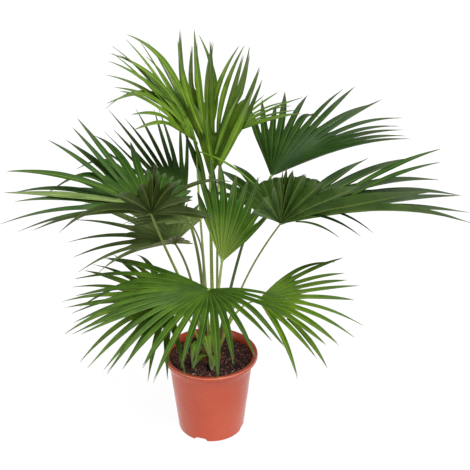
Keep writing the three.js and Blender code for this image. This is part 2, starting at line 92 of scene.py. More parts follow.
def side_by_side(*parts: Array | float) -> Array:
    """Arrays spread to one shape and set side by side along a new last axis."""
    return np.stack(np.broadcast_arrays(*parts), -1)


def full_turn(count: int) -> Array:
    """One row of evenly spaced bearings all the way round, in radians."""
    return np.linspace(0, 2 * math.pi, count, endpoint=False)[None]


def around(turn: Array | float, radius: Array | float, height: Array | float) -> Array:
    """Points at a bearing in radians and a radius from the upright axis."""
    return side_by_side(radius * np.cos(turn), radius * np.sin(turn), height)


def polar(degrees: Array | float, radius: Array | float, height: Array | float) -> Array:
    """Points at a bearing in degrees and a radius from the upright axis."""
    return around(np.radians(degrees), radius, height)


def ripple(points: Array, size: float, seed: float) -> Array:
    """A lumpy number about 0 for each point.

    Formula: the mean of five sines of the point's place along five fixed slanting directions, at
    wavelengths from size down to a third of it.

    Args:
        points: Points in millimetres, xyz on the last axis.
        size: The longest wavelength in millimetres.
        seed: Shifts the pattern.

    Returns:
        One number per point, within -1 and 1.
    """
    total = np.zeros(points.shape[:-1])
    for k in range(RIPPLES):
        way = [math.sin(2.1 * k + seed), math.cos(1.7 * k + 2 * seed), math.sin(3.3 * k + 1.3 * seed)]
        turns = points @ unit(np.array(way)) * 2 * math.pi * (1 + 0.5 * k) / size
        total += np.sin(turns + 5 * k + seed)
    return total / RIPPLES


def linear(code: int) -> Triple:
    """A display colour written as 0xRRGGBB, as the linear numbers that shaders take."""
    parts = [((code >> shift) & 255) / 255 for shift in (16, 8, 0)]
    return tuple(p / 12.92 if p <= 0.04045 else ((p + 0.055) / 1.055) ** 2.4 for p in parts)


# ------------------------------------------------------------------------------------ mesh making
def grid_faces(rows: int, columns: int, wrap: bool = False, turn_over: bool = False) -> Array:
    """Quads of a grid whose points run row by row.

    Args:
        rows: Number of rows of points.
        columns: Number of points in a row.
        wrap: Joins the last column to the first.
        turn_over: Lists each quad the other way round.

    Returns:
        An array of quads, four point numbers each.
    """
    row = np.arange(rows - 1)[:, None] * columns
    here = np.arange(columns if wrap else columns - 1)[None, :]
    there = (here + 1) % columns
    corners = (row + here, row + there, row + columns + there, row + columns + here)
    quads = side_by_side(*corners).reshape(-1, 4)
    return quads[:, ::-1] if turn_over else quads


@dataclass
class Surface:
    """Points and faces of one piece, still in millimetres.

    Attributes:
        points: Points, one per row.
        faces: Quads or triangles as point numbers.
        chart: The piece's own map, two numbers per point.
        tint: For each face, which of the piece's finishes it wears.
    """

    points: Array
    faces: Array
    chart: Array | None = None
    tint: Array | None = None

    @staticmethod
    def join(parts: list["Surface"]) -> "Surface":
        """One surface from several that have the same kind of face."""
        starts = np.cumsum([0] + [len(p.points) for p in parts[:-1]])
        return Surface(
            np.concatenate([p.points for p in parts]),
            np.concatenate([p.faces + start for p, start in zip(parts, starts)]),
            None if parts[0].chart is None else np.concatenate([p.chart for p in parts]),
            None if parts[0].tint is None else np.concatenate([p.tint for p in parts]),
        )


def tube(path: Array, side: Array, top: Array, section: Array) -> Surface:
    """A section carried along a path, closed by drawing both ends to a point.

    Formula: each point is the path's point plus the section's first number along side and its second
    along top. The chart runs round the section and along the path in metres.

    Args:
        path: Points along the path, (rows, 3).
        side: A unit vector across the path at each point.
        top: A unit vector square to both.
        section: The outline at each point of the path, (rows, corners, 2), counter-clockwise.

    Returns:
        The closed surface.
    """
    corners = section.shape[1]
    rings = path[:, None] + section[..., :1] * side[:, None] + section[..., 1:] * top[:, None]
    first, last = (np.repeat(end[None, None], corners, 1) for end in (path[0], path[-1]))
    rings = np.concatenate([first, rings, last])
    steps = np.linalg.norm(np.diff(path, axis=0), axis=1)
    along = np.concatenate([[0, 0], np.cumsum(steps), [steps.sum()]]) * MM
    chart = side_by_side((np.arange(corners) / corners)[None], along[:, None])
    faces = grid_faces(len(rings), corners, wrap=True)
    return Surface(rings.reshape(-1, 3), faces, chart.reshape(-1, 2))


def spikes(corners: Array, turn_over: bool = False) -> Surface:
    """Closed eight-faced bodies, each from four corners round its middle and one at either end.

    Args:
        corners: Six points for each body, (bodies, 6, 3), the two ends last.
        turn_over: Lists each face the other way round.

    Returns:
        All the bodies as one surface of triangles.
    """
    here = np.arange(4)
    there = (here + 1) % 4
    first = side_by_side(here, there, 4)
    second = side_by_side(there, here, 5)
    faces = np.concatenate([first, second])
    faces = faces[:, ::-1] if turn_over else faces
    starts = np.arange(len(corners))[:, None, None] * 6
    return Surface(corners.reshape(-1, 3), (faces[None] + starts).reshape(-1, 3))


def put(name: str, data: bpy.types.ID) -> bpy.types.Object:
    """Makes an object and links it into the scene.

    Args:
        name: The object's name.
        data: Its mesh, light or camera.

    Returns:
        The object.
    """
    thing = bpy.data.objects.new(name, data)
    bpy.context.scene.collection.objects.link(thing)
    return thing


class Dresser:
    """Turns surfaces into finished pieces that ride on the plant's one body.

    Attributes:
        WELD: Points closer than this, in millimetres, become one.
    """

    WELD = 0.004

    def piece(
        self,
        name: str,
        surface: Surface,
        finishes: list[Material],
        slot: str,
        replaces: tuple[str, ...] = (),
        crease: float = 40.0,
        thickness: float = 0.0,
    ) -> bpy.types.Object:
        """Makes one piece.

        Args:
            name: The piece's name.
            surface: Its points and faces in millimetres.
            finishes: Its materials. Where it has a thickness, each is followed by its underside's.
            slot: A material slot's name; not used.
            replaces: The solids that it stands for.
            crease: Edges that turn more than this many degrees stay sharp.
            thickness: Thickens a sheet downwards by this much, in millimetres.

        Returns:
            The finished object.
        """
        mesh = bpy.data.meshes.new(name)
        mesh.from_pydata((surface.points * MM).tolist(), [], surface.faces.tolist())
        if surface.chart is not None:
            layer = mesh.uv_layers.new(name="chart")
            layer.data.foreach_set("uv", surface.chart[surface.faces.ravel()].astype(np.float32).ravel())
        if surface.tint is not None:
            mesh.polygons.foreach_set("material_index", surface.tint.astype(np.int32))
        for finish in finishes:
            mesh.materials.append(finish)
        self._weld(mesh)
        mesh.shade_smooth()
        mesh.set_sharp_from_angle(angle=math.radians(crease))
        thing = put(name, mesh)
        if thickness:
            self._thicken(thing, thickness)
        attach(thing, BODY)
        if replaces:
            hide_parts(*replaces)
        LOG.info("%s: %d faces", name, len(mesh.polygons))
        return thing

    def _weld(self, mesh: bpy.types.Mesh) -> None:
        """Merges points that fall together, which closes seams and poles, and drops empty faces.

        Args:
            mesh: The mesh to close.
        """
        work = bmesh.new()
        work.from_mesh(mesh)
        bmesh.ops.remove_doubles(work, verts=work.verts, dist=self.WELD * MM)
        bmesh.ops.dissolve_degenerate(work, edges=work.edges, dist=self.WELD * MM)
        work.to_mesh(mesh)
        work.free()

    def _thicken(self, thing: bpy.types.Object, thickness: float) -> None:
        """Gives a sheet a second skin below it and a rim, in the finish that follows each face's own.

        Args:
            thing: The sheet.
            thickness: The distance between the skins, in millimetres.
        """
        skin = thing.modifiers.new("thickness", "SOLIDIFY")
        skin.thickness = thickness * MM
        skin.offset = -1
        skin.material_offset = 1
        skin.material_offset_rim = 1


# --------------------------------------------------------------------------------------- finishes
class Shader:
    """A material's node tree, built a node at a time round one principled shader."""

    MIX_INPUTS = (0, 6, 7)
    MIX_OUTPUT = 2

    def __init__(self, name: str, roughness: float, specular: float) -> None:
        """Starts a material.

        Args:
            name: The material's name.
            roughness: The shader's roughness.
            specular: The shader's specular level.
        """
        self.material = bpy.data.materials.new(name)
        self.material.use_nodes = True
        self.tree = self.material.node_tree
        self.body = next(n for n in self.tree.nodes if n.type == "BSDF_PRINCIPLED")
        self.body.inputs["Roughness"].default_value = roughness
        self.body.inputs["Specular IOR Level"].default_value = specular
        self.place = self.tree.nodes.new("ShaderNodeTexCoord")

    def add(self, kind: str, **sockets: object) -> bpy.types.Node:
        """Adds a node and sets or links the sockets that are named, with _ for a space.

        Args:
            kind: The node's type without its ShaderNode prefix.
            **sockets: Values, or output sockets to link.

        Returns:
            The node.
        """
        node = self.tree.nodes.new("ShaderNode" + kind)
        for name, value in sockets.items():
            self.feed(node, name.replace("_", " "), value)
        return node

    def feed(self, node: bpy.types.Node, name: str | int, value: object) -> None:
        """Links an output to an input, or sets the input's value.

        Args:
            node: The node that takes it.
            name: The input's name or number.
            value: An output socket, or a value.
        """
        socket = node.inputs[name]
        if isinstance(value, Socket):
            self.tree.links.new(value, socket)
        else:
            socket.default_value = value

    def math(self, operation: str, *values: object) -> Socket:
        """Adds an arithmetic node.

        Args:
            operation: What it does.
            *values: Its inputs, sockets or numbers.

        Returns:
            Its result.
        """
        node = self.add("Math")
        node.operation = operation
        for index, value in enumerate(values):
            self.feed(node, index, value)
        return node.outputs[0]

    def noise(self, scale: float, detail: float, stretch: Triple = (1, 1, 1)) -> Socket:
        """Cloudy noise over the piece, in its own coordinates, stretched by the mapping's scale."""
        mapping = self.add("Mapping", Vector=self.place.outputs["Object"], Scale=stretch)
        return self.add("TexNoise", Vector=mapping.outputs[0], Scale=scale, Detail=detail).outputs[0]

    def dice(self, number: object) -> Socket:
        """A steady chance between 0 and 1 for each number.

        Args:
            number: The number that decides it.

        Returns:
            The chance.
        """
        node = self.add("TexWhiteNoise")
        node.noise_dimensions = "1D"
        self.feed(node, "W", number)
        return node.outputs[0]

    def mix(self, share: object, first: object, second: object) -> Socket:
        """A colour between two.

        Args:
            share: How much of the second it has.
            first: A socket, four linear numbers, or a display colour's code.
            second: The same.

        Returns:
            The colour.
        """
        node = self.add("Mix")
        node.data_type = "RGBA"
        colours = [(*linear(c), 1.0) if isinstance(c, int) else c for c in (first, second)]
        for index, value in zip(self.MIX_INPUTS, (share, *colours)):
            self.feed(node, index, value)
        return node.outputs[self.MIX_OUTPUT]

    def span(
        self, value: object, low: float, high: float, start: float = 0.0, end: float = 1.0
    ) -> Socket:
        """A value mapped from the range low to high onto start to end, and kept within it."""
        node = self.add("MapRange", Value=value, From_Min=low, From_Max=high, To_Min=start, To_Max=end)
        return node.outputs[0]

    def colour(self, ground: object, *washes: tuple[object, object]) -> None:
        """Sets the base colour: a ground with washes laid over it in turn.

        Args:
            ground: The first colour, as mix takes it.
            *washes: Pairs of a share and the colour that it brings in.
        """
        for share, wash in washes:
            ground = self.mix(share, ground, wash)
        self.feed(self.body, "Base Color", ground)

    def relief(self, height: Socket, depth: float, strength: float = 1.0) -> None:
        """Bumps the surface by a height, depth in millimetres."""
        bump = self.add("Bump", Height=height, Distance=depth * MM, Strength=strength)
        self.feed(self.body, "Normal", bump.outputs[0])


@dataclass(frozen=True)
class LeafFinish:
    """Living leaf tissue, with fine veins along each leaflet, a paler rib and painted shade in its pleats.

    Attributes:
        name: The material's name.
        light: The colour of its lighter clouds.
        deep: The colour of its darker clouds.
        rib: The colour along the middle of each leaflet.
        roughness: How dull it is.
        rib_share: How strongly the rib's colour shows.
        fade: How far it fades to a duller colour at its tips.
        heart: How much of the rib's colour it takes on near the hub.
    """

    name: str
    light: int
    deep: int
    rib: int
    roughness: float = 0.46
    rib_share: float = 0.4
    fade: float = 0.45
    heart: float = 0.0

    TIP = 0x747A66
    SHINE = 0.14
    CLOUDS = 26.0
    VEINS = 16.0
    VEIN_RELIEF = 0.12
    VEIN_SHADE = 0.22
    OWN_SHADE = 0.4
    # Painted shade: the next two darken one half of each leaflet's fold and the seams between the pleats, and
    # the third keeps part of the seam shade where the leaflets part.
    FOLD_PAINTED_SHADE = 0.42
    SEAM_PAINTED_SHADE = 0.85
    SEAM_PAINTED_SHADE_LEFT = 0.35
    PARTED = (0.25, 0.55)
    HEART_SPAN = (0.05, 0.5)
    TIP_SPAN = (0.6, 1.0)

    def material(self) -> Material:
        """Builds the material from the leaf's chart.

        Formula: clouds of two greens, darkened by lengthwise veins and by each leaflet's own chance, then
        painted shade on one side of each leaflet's fold and along the seams between the pleats, which weakens
        where the leaflets part. The rib's colour comes in near the hub and down the middle, the tips fade,
        and the veins stand up a little.

        Returns:
            The material.
        """
        shader = Shader(self.name, self.roughness, self.SHINE)
        chart = shader.add("SeparateXYZ", Vector=shader.place.outputs["UV"])
        leaflet, along = chart.outputs[0], chart.outputs[1]
        inside = shader.math("FRACT", leaflet)
        off_rib = shader.math("ABSOLUTE", shader.math("SUBTRACT", inside, 0.5))
        veins = shader.math("SINE", shader.math("MULTIPLY", leaflet, self.VEINS * 2 * math.pi))
        own = shader.dice(shader.math("FLOOR", leaflet))
        undivided = shader.span(along, *self.PARTED, 1.0, self.SEAM_PAINTED_SHADE_LEFT)
        # Painted shade along the seams between the pleats.
        painted_seam_shade = shader.span(off_rib, 0.36, 0.5, 0.0, self.SEAM_PAINTED_SHADE)
        shader.colour(
            self.deep,
            (shader.span(shader.noise(self.CLOUDS, 4.0), 0.35, 0.68), self.light),
            (shader.span(veins, -1.0, 1.0, 0.0, self.VEIN_SHADE), self.deep),
            (shader.span(own, 0.0, 1.0, 0.0, self.OWN_SHADE), self.deep),
            # Painted shade on one side of each fold, then along the seams between the pleats.
            (shader.span(inside, 0.48, 0.52, 0.0, self.FOLD_PAINTED_SHADE), self.deep),
            (shader.math("MULTIPLY", undivided, painted_seam_shade), self.deep),
            (shader.span(along, *self.HEART_SPAN, self.heart, 0.0), self.rib),
            (shader.span(off_rib, 0.03, 0.09, self.rib_share, 0.0), self.rib),
            (shader.span(along, *self.TIP_SPAN, 0.0, self.fade), self.TIP),
        )
        shader.relief(veins, self.VEIN_RELIEF, 0.5)
        return shader.material


@dataclass(frozen=True)
class DryFinish:
    """A dried leaflet tip: papery, blotched between two browns."""

    name: str
    pale: int
    dark: int

    BLOTCHES = 180.0
    CRINKLE = 0.2

    def material(self) -> Material:
        """Builds the material: two browns by fine noise, with a papery relief.

        Returns:
            The material.
        """
        shader = Shader(self.name, 0.75, 0.3)
        blotch = shader.noise(self.BLOTCHES, 4.0)
        shader.colour(self.pale, (shader.span(blotch, 0.35, 0.65), self.dark))
        shader.relief(blotch, self.CRINKLE)
        return shader.material


@dataclass(frozen=True)
class StalkFinish:
    """A fleshy leaf stalk: streaked lengthwise, brown near the trunk and green above."""

    name: str
    upper: int
    streak: int

    BROWN = 0x70502E
    BROWN_TOP = 200 * MM
    GREEN_FROM = 262 * MM
    STREAKS = 320.0
    GROOVES = 0.25

    def material(self) -> Material:
        """Builds the material: a wash from brown to green by height, lengthwise streaks, fine grooves.

        Returns:
            The material.
        """
        shader = Shader(self.name, 0.4, 0.45)
        height = shader.add("SeparateXYZ", Vector=shader.place.outputs["Object"]).outputs[2]
        streaks = shader.noise(self.STREAKS, 3.0, (1, 1, 0.06))
        shader.colour(
            self.BROWN,
            (shader.span(height, self.BROWN_TOP, self.GREEN_FROM), self.upper),
            (shader.span(streaks, 0.45, 0.75, 0.0, 0.45), self.streak),
        )
        shader.relief(streaks, self.GROOVES, 0.6)
        return shader.material


@dataclass(frozen=True)
class FibreFinish:
    """Dry leaf-base fibre: brown strands with paler worn threads."""

    name: str
    dark: int
    pale: int

    STRANDS = 420.0
    PATCHES = 60.0
    COARSE = 0.8

    def material(self) -> Material:
        """Builds the material: streaks along the trunk between two browns, with a coarse relief.

        Returns:
            The material.
        """
        shader = Shader(self.name, 0.85, 0.25)
        strands = shader.noise(self.STRANDS, 5.0, (1, 1, 0.12))
        shader.colour(
            self.dark,
            (shader.span(strands, 0.38, 0.66), self.pale),
            (shader.span(shader.noise(self.PATCHES, 2.0), 0.45, 0.75, 0.0, 0.5), self.dark),
        )
        shader.relief(strands, self.COARSE)
        return shader.material


@dataclass(frozen=True)
class PlasticFinish:
    """Injection-moulded pot plastic, softly glossy, faintly clouded and scuffed."""

    name: str
    plain: int
    worn: int

    CLOUDS = 14.0
    SCUFFS = 60.0
    SHEEN = 35.0
    GRAIN = 900.0
    GLOSS_SPAN = (0.2, 0.34)

    def material(self) -> Material:
        """Builds the material: faint clouds, dusty scuffs, an uneven gloss and a fine moulded grain.

        Returns:
            The material.
        """
        shader = Shader(self.name, 0.3, 0.42)
        shader.colour(
            self.plain,
            (shader.span(shader.noise(self.CLOUDS, 3.0), 0.35, 0.7, 0.0, 0.35), self.worn),
            (shader.span(shader.noise(self.SCUFFS, 6.0, (1, 1, 0.35)), 0.62, 0.8, 0.0, 0.3), self.worn),
        )
        gloss = shader.span(shader.noise(self.SHEEN, 4.0), 0.3, 0.7, *self.GLOSS_SPAN)
        shader.feed(shader.body, "Roughness", gloss)
        shader.relief(shader.noise(self.GRAIN, 2.0), 0.05, 0.4)
        return shader.material


@dataclass(frozen=True)
class PeatFinish:
    """Peat and bark crumbs: dark, damp and grainy."""

    name: str
    dark: int
    pale: int
    grain: float = 500.0

    PATCHES = 70.0
    ROUGH = 1.2

    def material(self) -> Material:
        """Builds the material: grains of two browns in darker patches, with a rough relief.

        Returns:
            The material.
        """
        shader = Shader(self.name, 0.85, 0.35)
        grains = shader.noise(self.grain, 5.0)
        shader.colour(
            self.dark,
            (shader.span(grains, 0.46, 0.66), self.pale),
            (shader.span(shader.noise(self.PATCHES, 2.0), 0.45, 0.65, 0.0, 0.7), self.dark),
        )
        shader.relief(grains, self.ROUGH)
        return shader.material


class Tone(Enum):
    """How green a fan is: young ones are bright, old ones deep, some show a dull olive underside, and one is
    darkened with painted shade.
    """

    BRIGHT = "bright"
    LIVELY = "lively"
    # A darker green that paints shade.
    TENDER = "shaded"
    FRESH = "fresh"
    DEEP = "deep"
    OLIVE = "olive"
    MOSSY = "mossy"
    DUSTY = "dusty"


@dataclass(frozen=True)
class Greens:
    """One tone's colours.

    Attributes:
        upper: The upper side's lighter clouds, darker clouds and rib.
        under: The same for the underside.
        stalk: The stalk's flesh and its streaks.
        fade: How far the tips fade.
        heart: How much of the rib's colour the hub takes on.
    """

    upper: tuple[int, int, int]
    under: tuple[int, int, int]
    stalk: tuple[int, int]
    fade: float
    heart: float = 0.0


class Palette:
    """Every finish on the plant and its pot, made once."""

    GREENS = {
        Tone.BRIGHT: Greens(
            (0x7C9A2C, 0x486816, 0xA6BC58), (0x6E8A34, 0x48641E, 0x94A656), (0x8CA044, 0xB0BC70), 0.6),
        Tone.LIVELY: Greens(
            (0x728E28, 0x426210, 0x9AB04C), (0x62802E, 0x3E5C1A, 0x889C4C), (0x82983E, 0xA8B468), 0.3),
        # Painted shade: a darker copy of the lively green, paler near the hub, as if shaded by the fans
        # above.
        Tone.TENDER: Greens(
            (0x5A7C20, 0x30560F, 0xA2B856), (0x5A7A2A, 0x385618, 0x86984A), (0x8CA048, 0xA8B468), 0.3, 0.6),
        Tone.FRESH: Greens(
            (0x4C6A18, 0x2C4A0E, 0x869C48), (0x4E6C26, 0x325018, 0x7C8E46), (0x76903A, 0x9CAA62), 0.12),
        Tone.DEEP: Greens(
            (0x345014, 0x1A360B, 0x66803A), (0x3E5222, 0x263A14, 0x68783A), (0x566C30, 0x7C8A50), 0.4),
        Tone.OLIVE: Greens(
            (0x3E6018, 0x204010, 0x708A40), (0x4A5A22, 0x2E3E12, 0x747C40), (0x6E8038, 0x92A05C), 0.45, 0.12),
        Tone.MOSSY: Greens(
            (0x304A13, 0x19300A, 0x647C36), (0x4C6826, 0x304A14, 0x7A8C44), (0x6A7E38, 0x8E9E5A), 0.4, 0.25),
        Tone.DUSTY: Greens(
            (0x869A5A, 0x5A7036, 0xA4B074), (0x8C945C, 0x646C3E, 0xA2A874), (0x647236, 0x8A9658), 0.4),
    }

    def __init__(self) -> None:
        """Builds the materials."""
        self.dry = [
            DryFinish("tip_dry", 0x6F6848, 0x4A4430).material(),
            DryFinish("tip_dry_under", 0x78704E, 0x504834).material(),
        ]
        self.leaf = {tone: self._leaf(tone.value, greens) for tone, greens in self.GREENS.items()}
        self.rib = LeafFinish("rib_flesh", 0x74863C, 0x5A7028, 0x8C9A50, 0.5, 0.2).material()
        self.stalk = {
            tone: StalkFinish(f"stalk_{tone.value}", *greens.stalk).material()
            for tone, greens in self.GREENS.items()
        }
        self.fibre = FibreFinish("base_fibre", 0x4A2415, 0x9A6A42).material()
        self.strand = FibreFinish("strand_fibre", 0x5C2E1A, 0xA8764A).material()
        self.pot = PlasticFinish("pot_plastic", 0xB84526, 0xC05E42).material()
        # A paler copy of the pot plastic for the rim's curl: a painted highlight.
        self.pot_highlight = PlasticFinish("pot_painted_highlight", 0xD6806A, 0xE6A490).material()
        self.peat = PeatFinish("peat_bed", 0x200E0C, 0x643A2E).material()
        self.crumb = PeatFinish("peat_crumbs", 0x26100C, 0xAC7668, 260.0).material()
        self.chip = PeatFinish("pale_chips", 0xB08C78, 0xE8D8C8, 200.0).material()
        self.floor = self._floor()

    def _leaf(self, word: str, greens: Greens) -> list[Material]:
        """The finishes of a sheet of leaf.

        Args:
            word: The tone's word.
            greens: Its colours.

        Returns:
            Its upper side's and underside's finish, then those of its dried tips.
        """
        upper = LeafFinish(f"leaf_{word}", *greens.upper, fade=greens.fade, heart=greens.heart)
        under = LeafFinish(f"leaf_{word}_under", *greens.under, 0.5, 0.5, greens.fade)
        return [upper.material(), under.material(), *self.dry]

    def _floor(self) -> Material:
        """A matt floor with the faintest mottling, lit from within so that shadows on it stay faint.

        Returns:
            The material.
        """
        shader = Shader("studio_floor", 0.9, 0.2)
        clouds = shader.span(shader.noise(1.5, 3.0), 0.3, 0.7)
        shader.colour((0.07, 0.07, 0.07, 1.0), (clouds, (0.08, 0.08, 0.08, 1.0)))
        shader.body.inputs["Emission Color"].default_value = (1, 1, 1, 1)
        shader.body.inputs["Emission Strength"].default_value = 0.95
        return shader.material


# ------------------------------------------------------------------------------------------- fans
@dataclass(frozen=True)
class Fan:
    """One frond's named sizes, the same as its solid's.

    Attributes:
        name: The frond's name.
        hub: Where the stalk meets the fan.
        bearing, rise, roll: Aim its midrib and turn it, in degrees.
        reach: Its longest leaflet.
        side: The share of that reach left at the fan's edge.
        spread: Half the angle of the fan in degrees.
        leaflets: How many there are.
        split: Where they part, as a share of their length.
        sag: How far the tips fall, as a share of their length.
        foot: The stalk's seat on the trunk, as bearing and height.
        aim: The way the stalk arrives.
        tone: How green it is.
        skew: Tips the side's share to one side.
        cup: Lifts every leaflet, in degrees.
        fold: Lifts the left side's and the right side's leaflets more, the further they lie out.
        short: First and last leaflets kept only to a share of their free length.
        withered: The share of leaflets with a dried tip.
        swell: How much a leaflet widens along its free length before it tapers.
        limp: The share of leaflets whose outer half hangs.
        slender: How soon the leaflets draw in towards their tips.
        bow: Bows the leaflets out from the fan's middle, as a share of their length.
        parting: How deep the leaflets part, as a share of the split.
        join: How far past the split neighbours may still hold together, as a share of their free length.
    """

    name: str
    hub: Triple
    bearing: float
    rise: float
    roll: float
    reach: float
    side: float
    spread: float
    leaflets: int
    split: float
    sag: float
    foot: tuple[float, float]
    aim: Triple
    tone: Tone
    skew: float = 0.0
    cup: float = 0.0
    fold: tuple[float, float] = (0.0, 0.0)
    short: tuple[tuple[int, int, float], ...] = ()
    withered: float = 0.15
    swell: float = 0.35
    limp: float = 0.1
    slender: float = 1.5
    bow: float = 0.0
    join: float = 0.2
    parting: float = 0.82


TRUNK_TOP = 236.0

FANS = (
    Fan("front_low", (3, -140, 430), -118, -6, -5, 264, 0.91, 101, 23, 0.36, 0.2, (-94, 208),
        (-0.1, -0.6, 0.5), Tone.FRESH, skew=-0.27, cup=8, swell=1.1, slender=1.15, parting=0.8),
    Fan("right_low", (101, -100, 381), -14, 3, -14, 213, 1, 58, 12, 0.38, 0.2, (-48, 203),
        (0.7, -0.5, 0.4), Tone.LIVELY, cup=10, swell=1.0, slender=1.2, parting=0.7),
    Fan("left_low", (-87, -50, 347), 197, 0, 14, 218, 0.92, 90, 17, 0.38, 0.22, (208, 202),
        (-0.8, -0.3, 0.4), Tone.LIVELY, cup=8, withered=0.3, swell=0.6),
    Fan("left_middle", (-76, 60, 430), 188, 2, 18, 245, 0.8, 140, 22, 0.42, 0.25, (150, 212),
        (-0.5, 0.1, 0.8), Tone.DUSTY, cup=14, fold=(45, 0), skew=-0.3, parting=0.62,
        short=((0, 4, 0.3), (14, 14, 0.6), (15, 20, 0.3), (21, 21, 0.25)), withered=0.3),
    Fan("left_high", (-114, -60, 558), 185, 5, 21, 300, 0.84, 160, 32, 0.37, 0.25, (237, 208),
        (-0.3, 0, 1), Tone.OLIVE, cup=14, fold=(84, 0),
        short=((0, 7, 0.15), (8, 8, 0.7), (20, 20, 0.5), (21, 27, 0.3), (28, 30, 0.55), (31, 31, 0.4)),
        skew=0.05, withered=0.4, limp=0.22, slender=1.4, swell=0.5, parting=0.8),
    Fan("back_left", (-54, 60, 511), 127, 43, 0, 268, 0.85, 34, 10, 0.42, 0.05, (115, 208),
        (-0.4, 0.3, 0.85), Tone.OLIVE, swell=0.5, parting=0.7),
    Fan("top_left", (-24, 50, 666), 166, 57, 0, 318, 0.72, 38, 12, 0.34, 0.25, (168, TRUNK_TOP),
        (0.0, 0.08, 1), Tone.BRIGHT, skew=-0.22, withered=0.3, limp=0.08, swell=0.6,
        slender=1.25, join=0.25, parting=0.68),
    Fan("top_centre", (1, 85, 573), 0, 83, -70, 328, 0.86, 22, 10, 0.3, 0.02, (90, TRUNK_TOP),
        (0, 0.05, 1), Tone.BRIGHT, cup=4, short=((4, 4, 0.05),), swell=2.3, skew=0.05, limp=0.0,
        slender=1.0, bow=0.045, join=0.5, parting=1.0),
    Fan("top_right", (25, 110, 655), 20, 24, 0, 195, 0.9, 28, 8, 0.28, 0.16, (15, TRUNK_TOP),
        (0.1, 0.12, 1), Tone.LIVELY, cup=5, swell=1.2, slender=1.0),
    Fan("right_high", (132, 130, 557), 46, 4, 4, 354, 0.88, 58, 15, 0.48, 0.2, (42, 208),
        (0.5, 0.3, 0.85), Tone.DEEP, skew=-0.1, cup=25, withered=0.3, swell=1.1, parting=0.7),
    Fan("right_middle", (144, -90, 551), 10, 3, -9, 395, 0.66, 140, 28, 0.38, 0.22, (-10, 208),
        (0.5, -0.1, 0.8), Tone.MOSSY, cup=14, fold=(0, 64),
        short=((0, 8, 0.25), (9, 9, 0.5), (17, 17, 0.6), (18, 23, 0.05), (24, 27, 0.5)),
        withered=0.4, limp=0.22, swell=0.45, parting=0.92),
    # Its darker green is painted shade from the fans above.
    Fan("centre_young", (27, -70, 453), 0, 81, -62, 222, 0.86, 34, 9, 0.5, 0.03, (-60, TRUNK_TOP),
        (0.1, -0.3, 1), Tone.TENDER, skew=0.16, short=((8, 8, 0.4),), withered=0.0, limp=0.0,
        slender=0.8, join=0.45, parting=0.95),
    Fan("back_middle", (-38, 0, 508), 165, 0, 0, 150, 0.75, 46, 10, 0.5, 0.25, (180, 212),
        (-0.5, -0.1, 0.85), Tone.DUSTY, cup=15, short=((9, 9, 0.15),)),
)


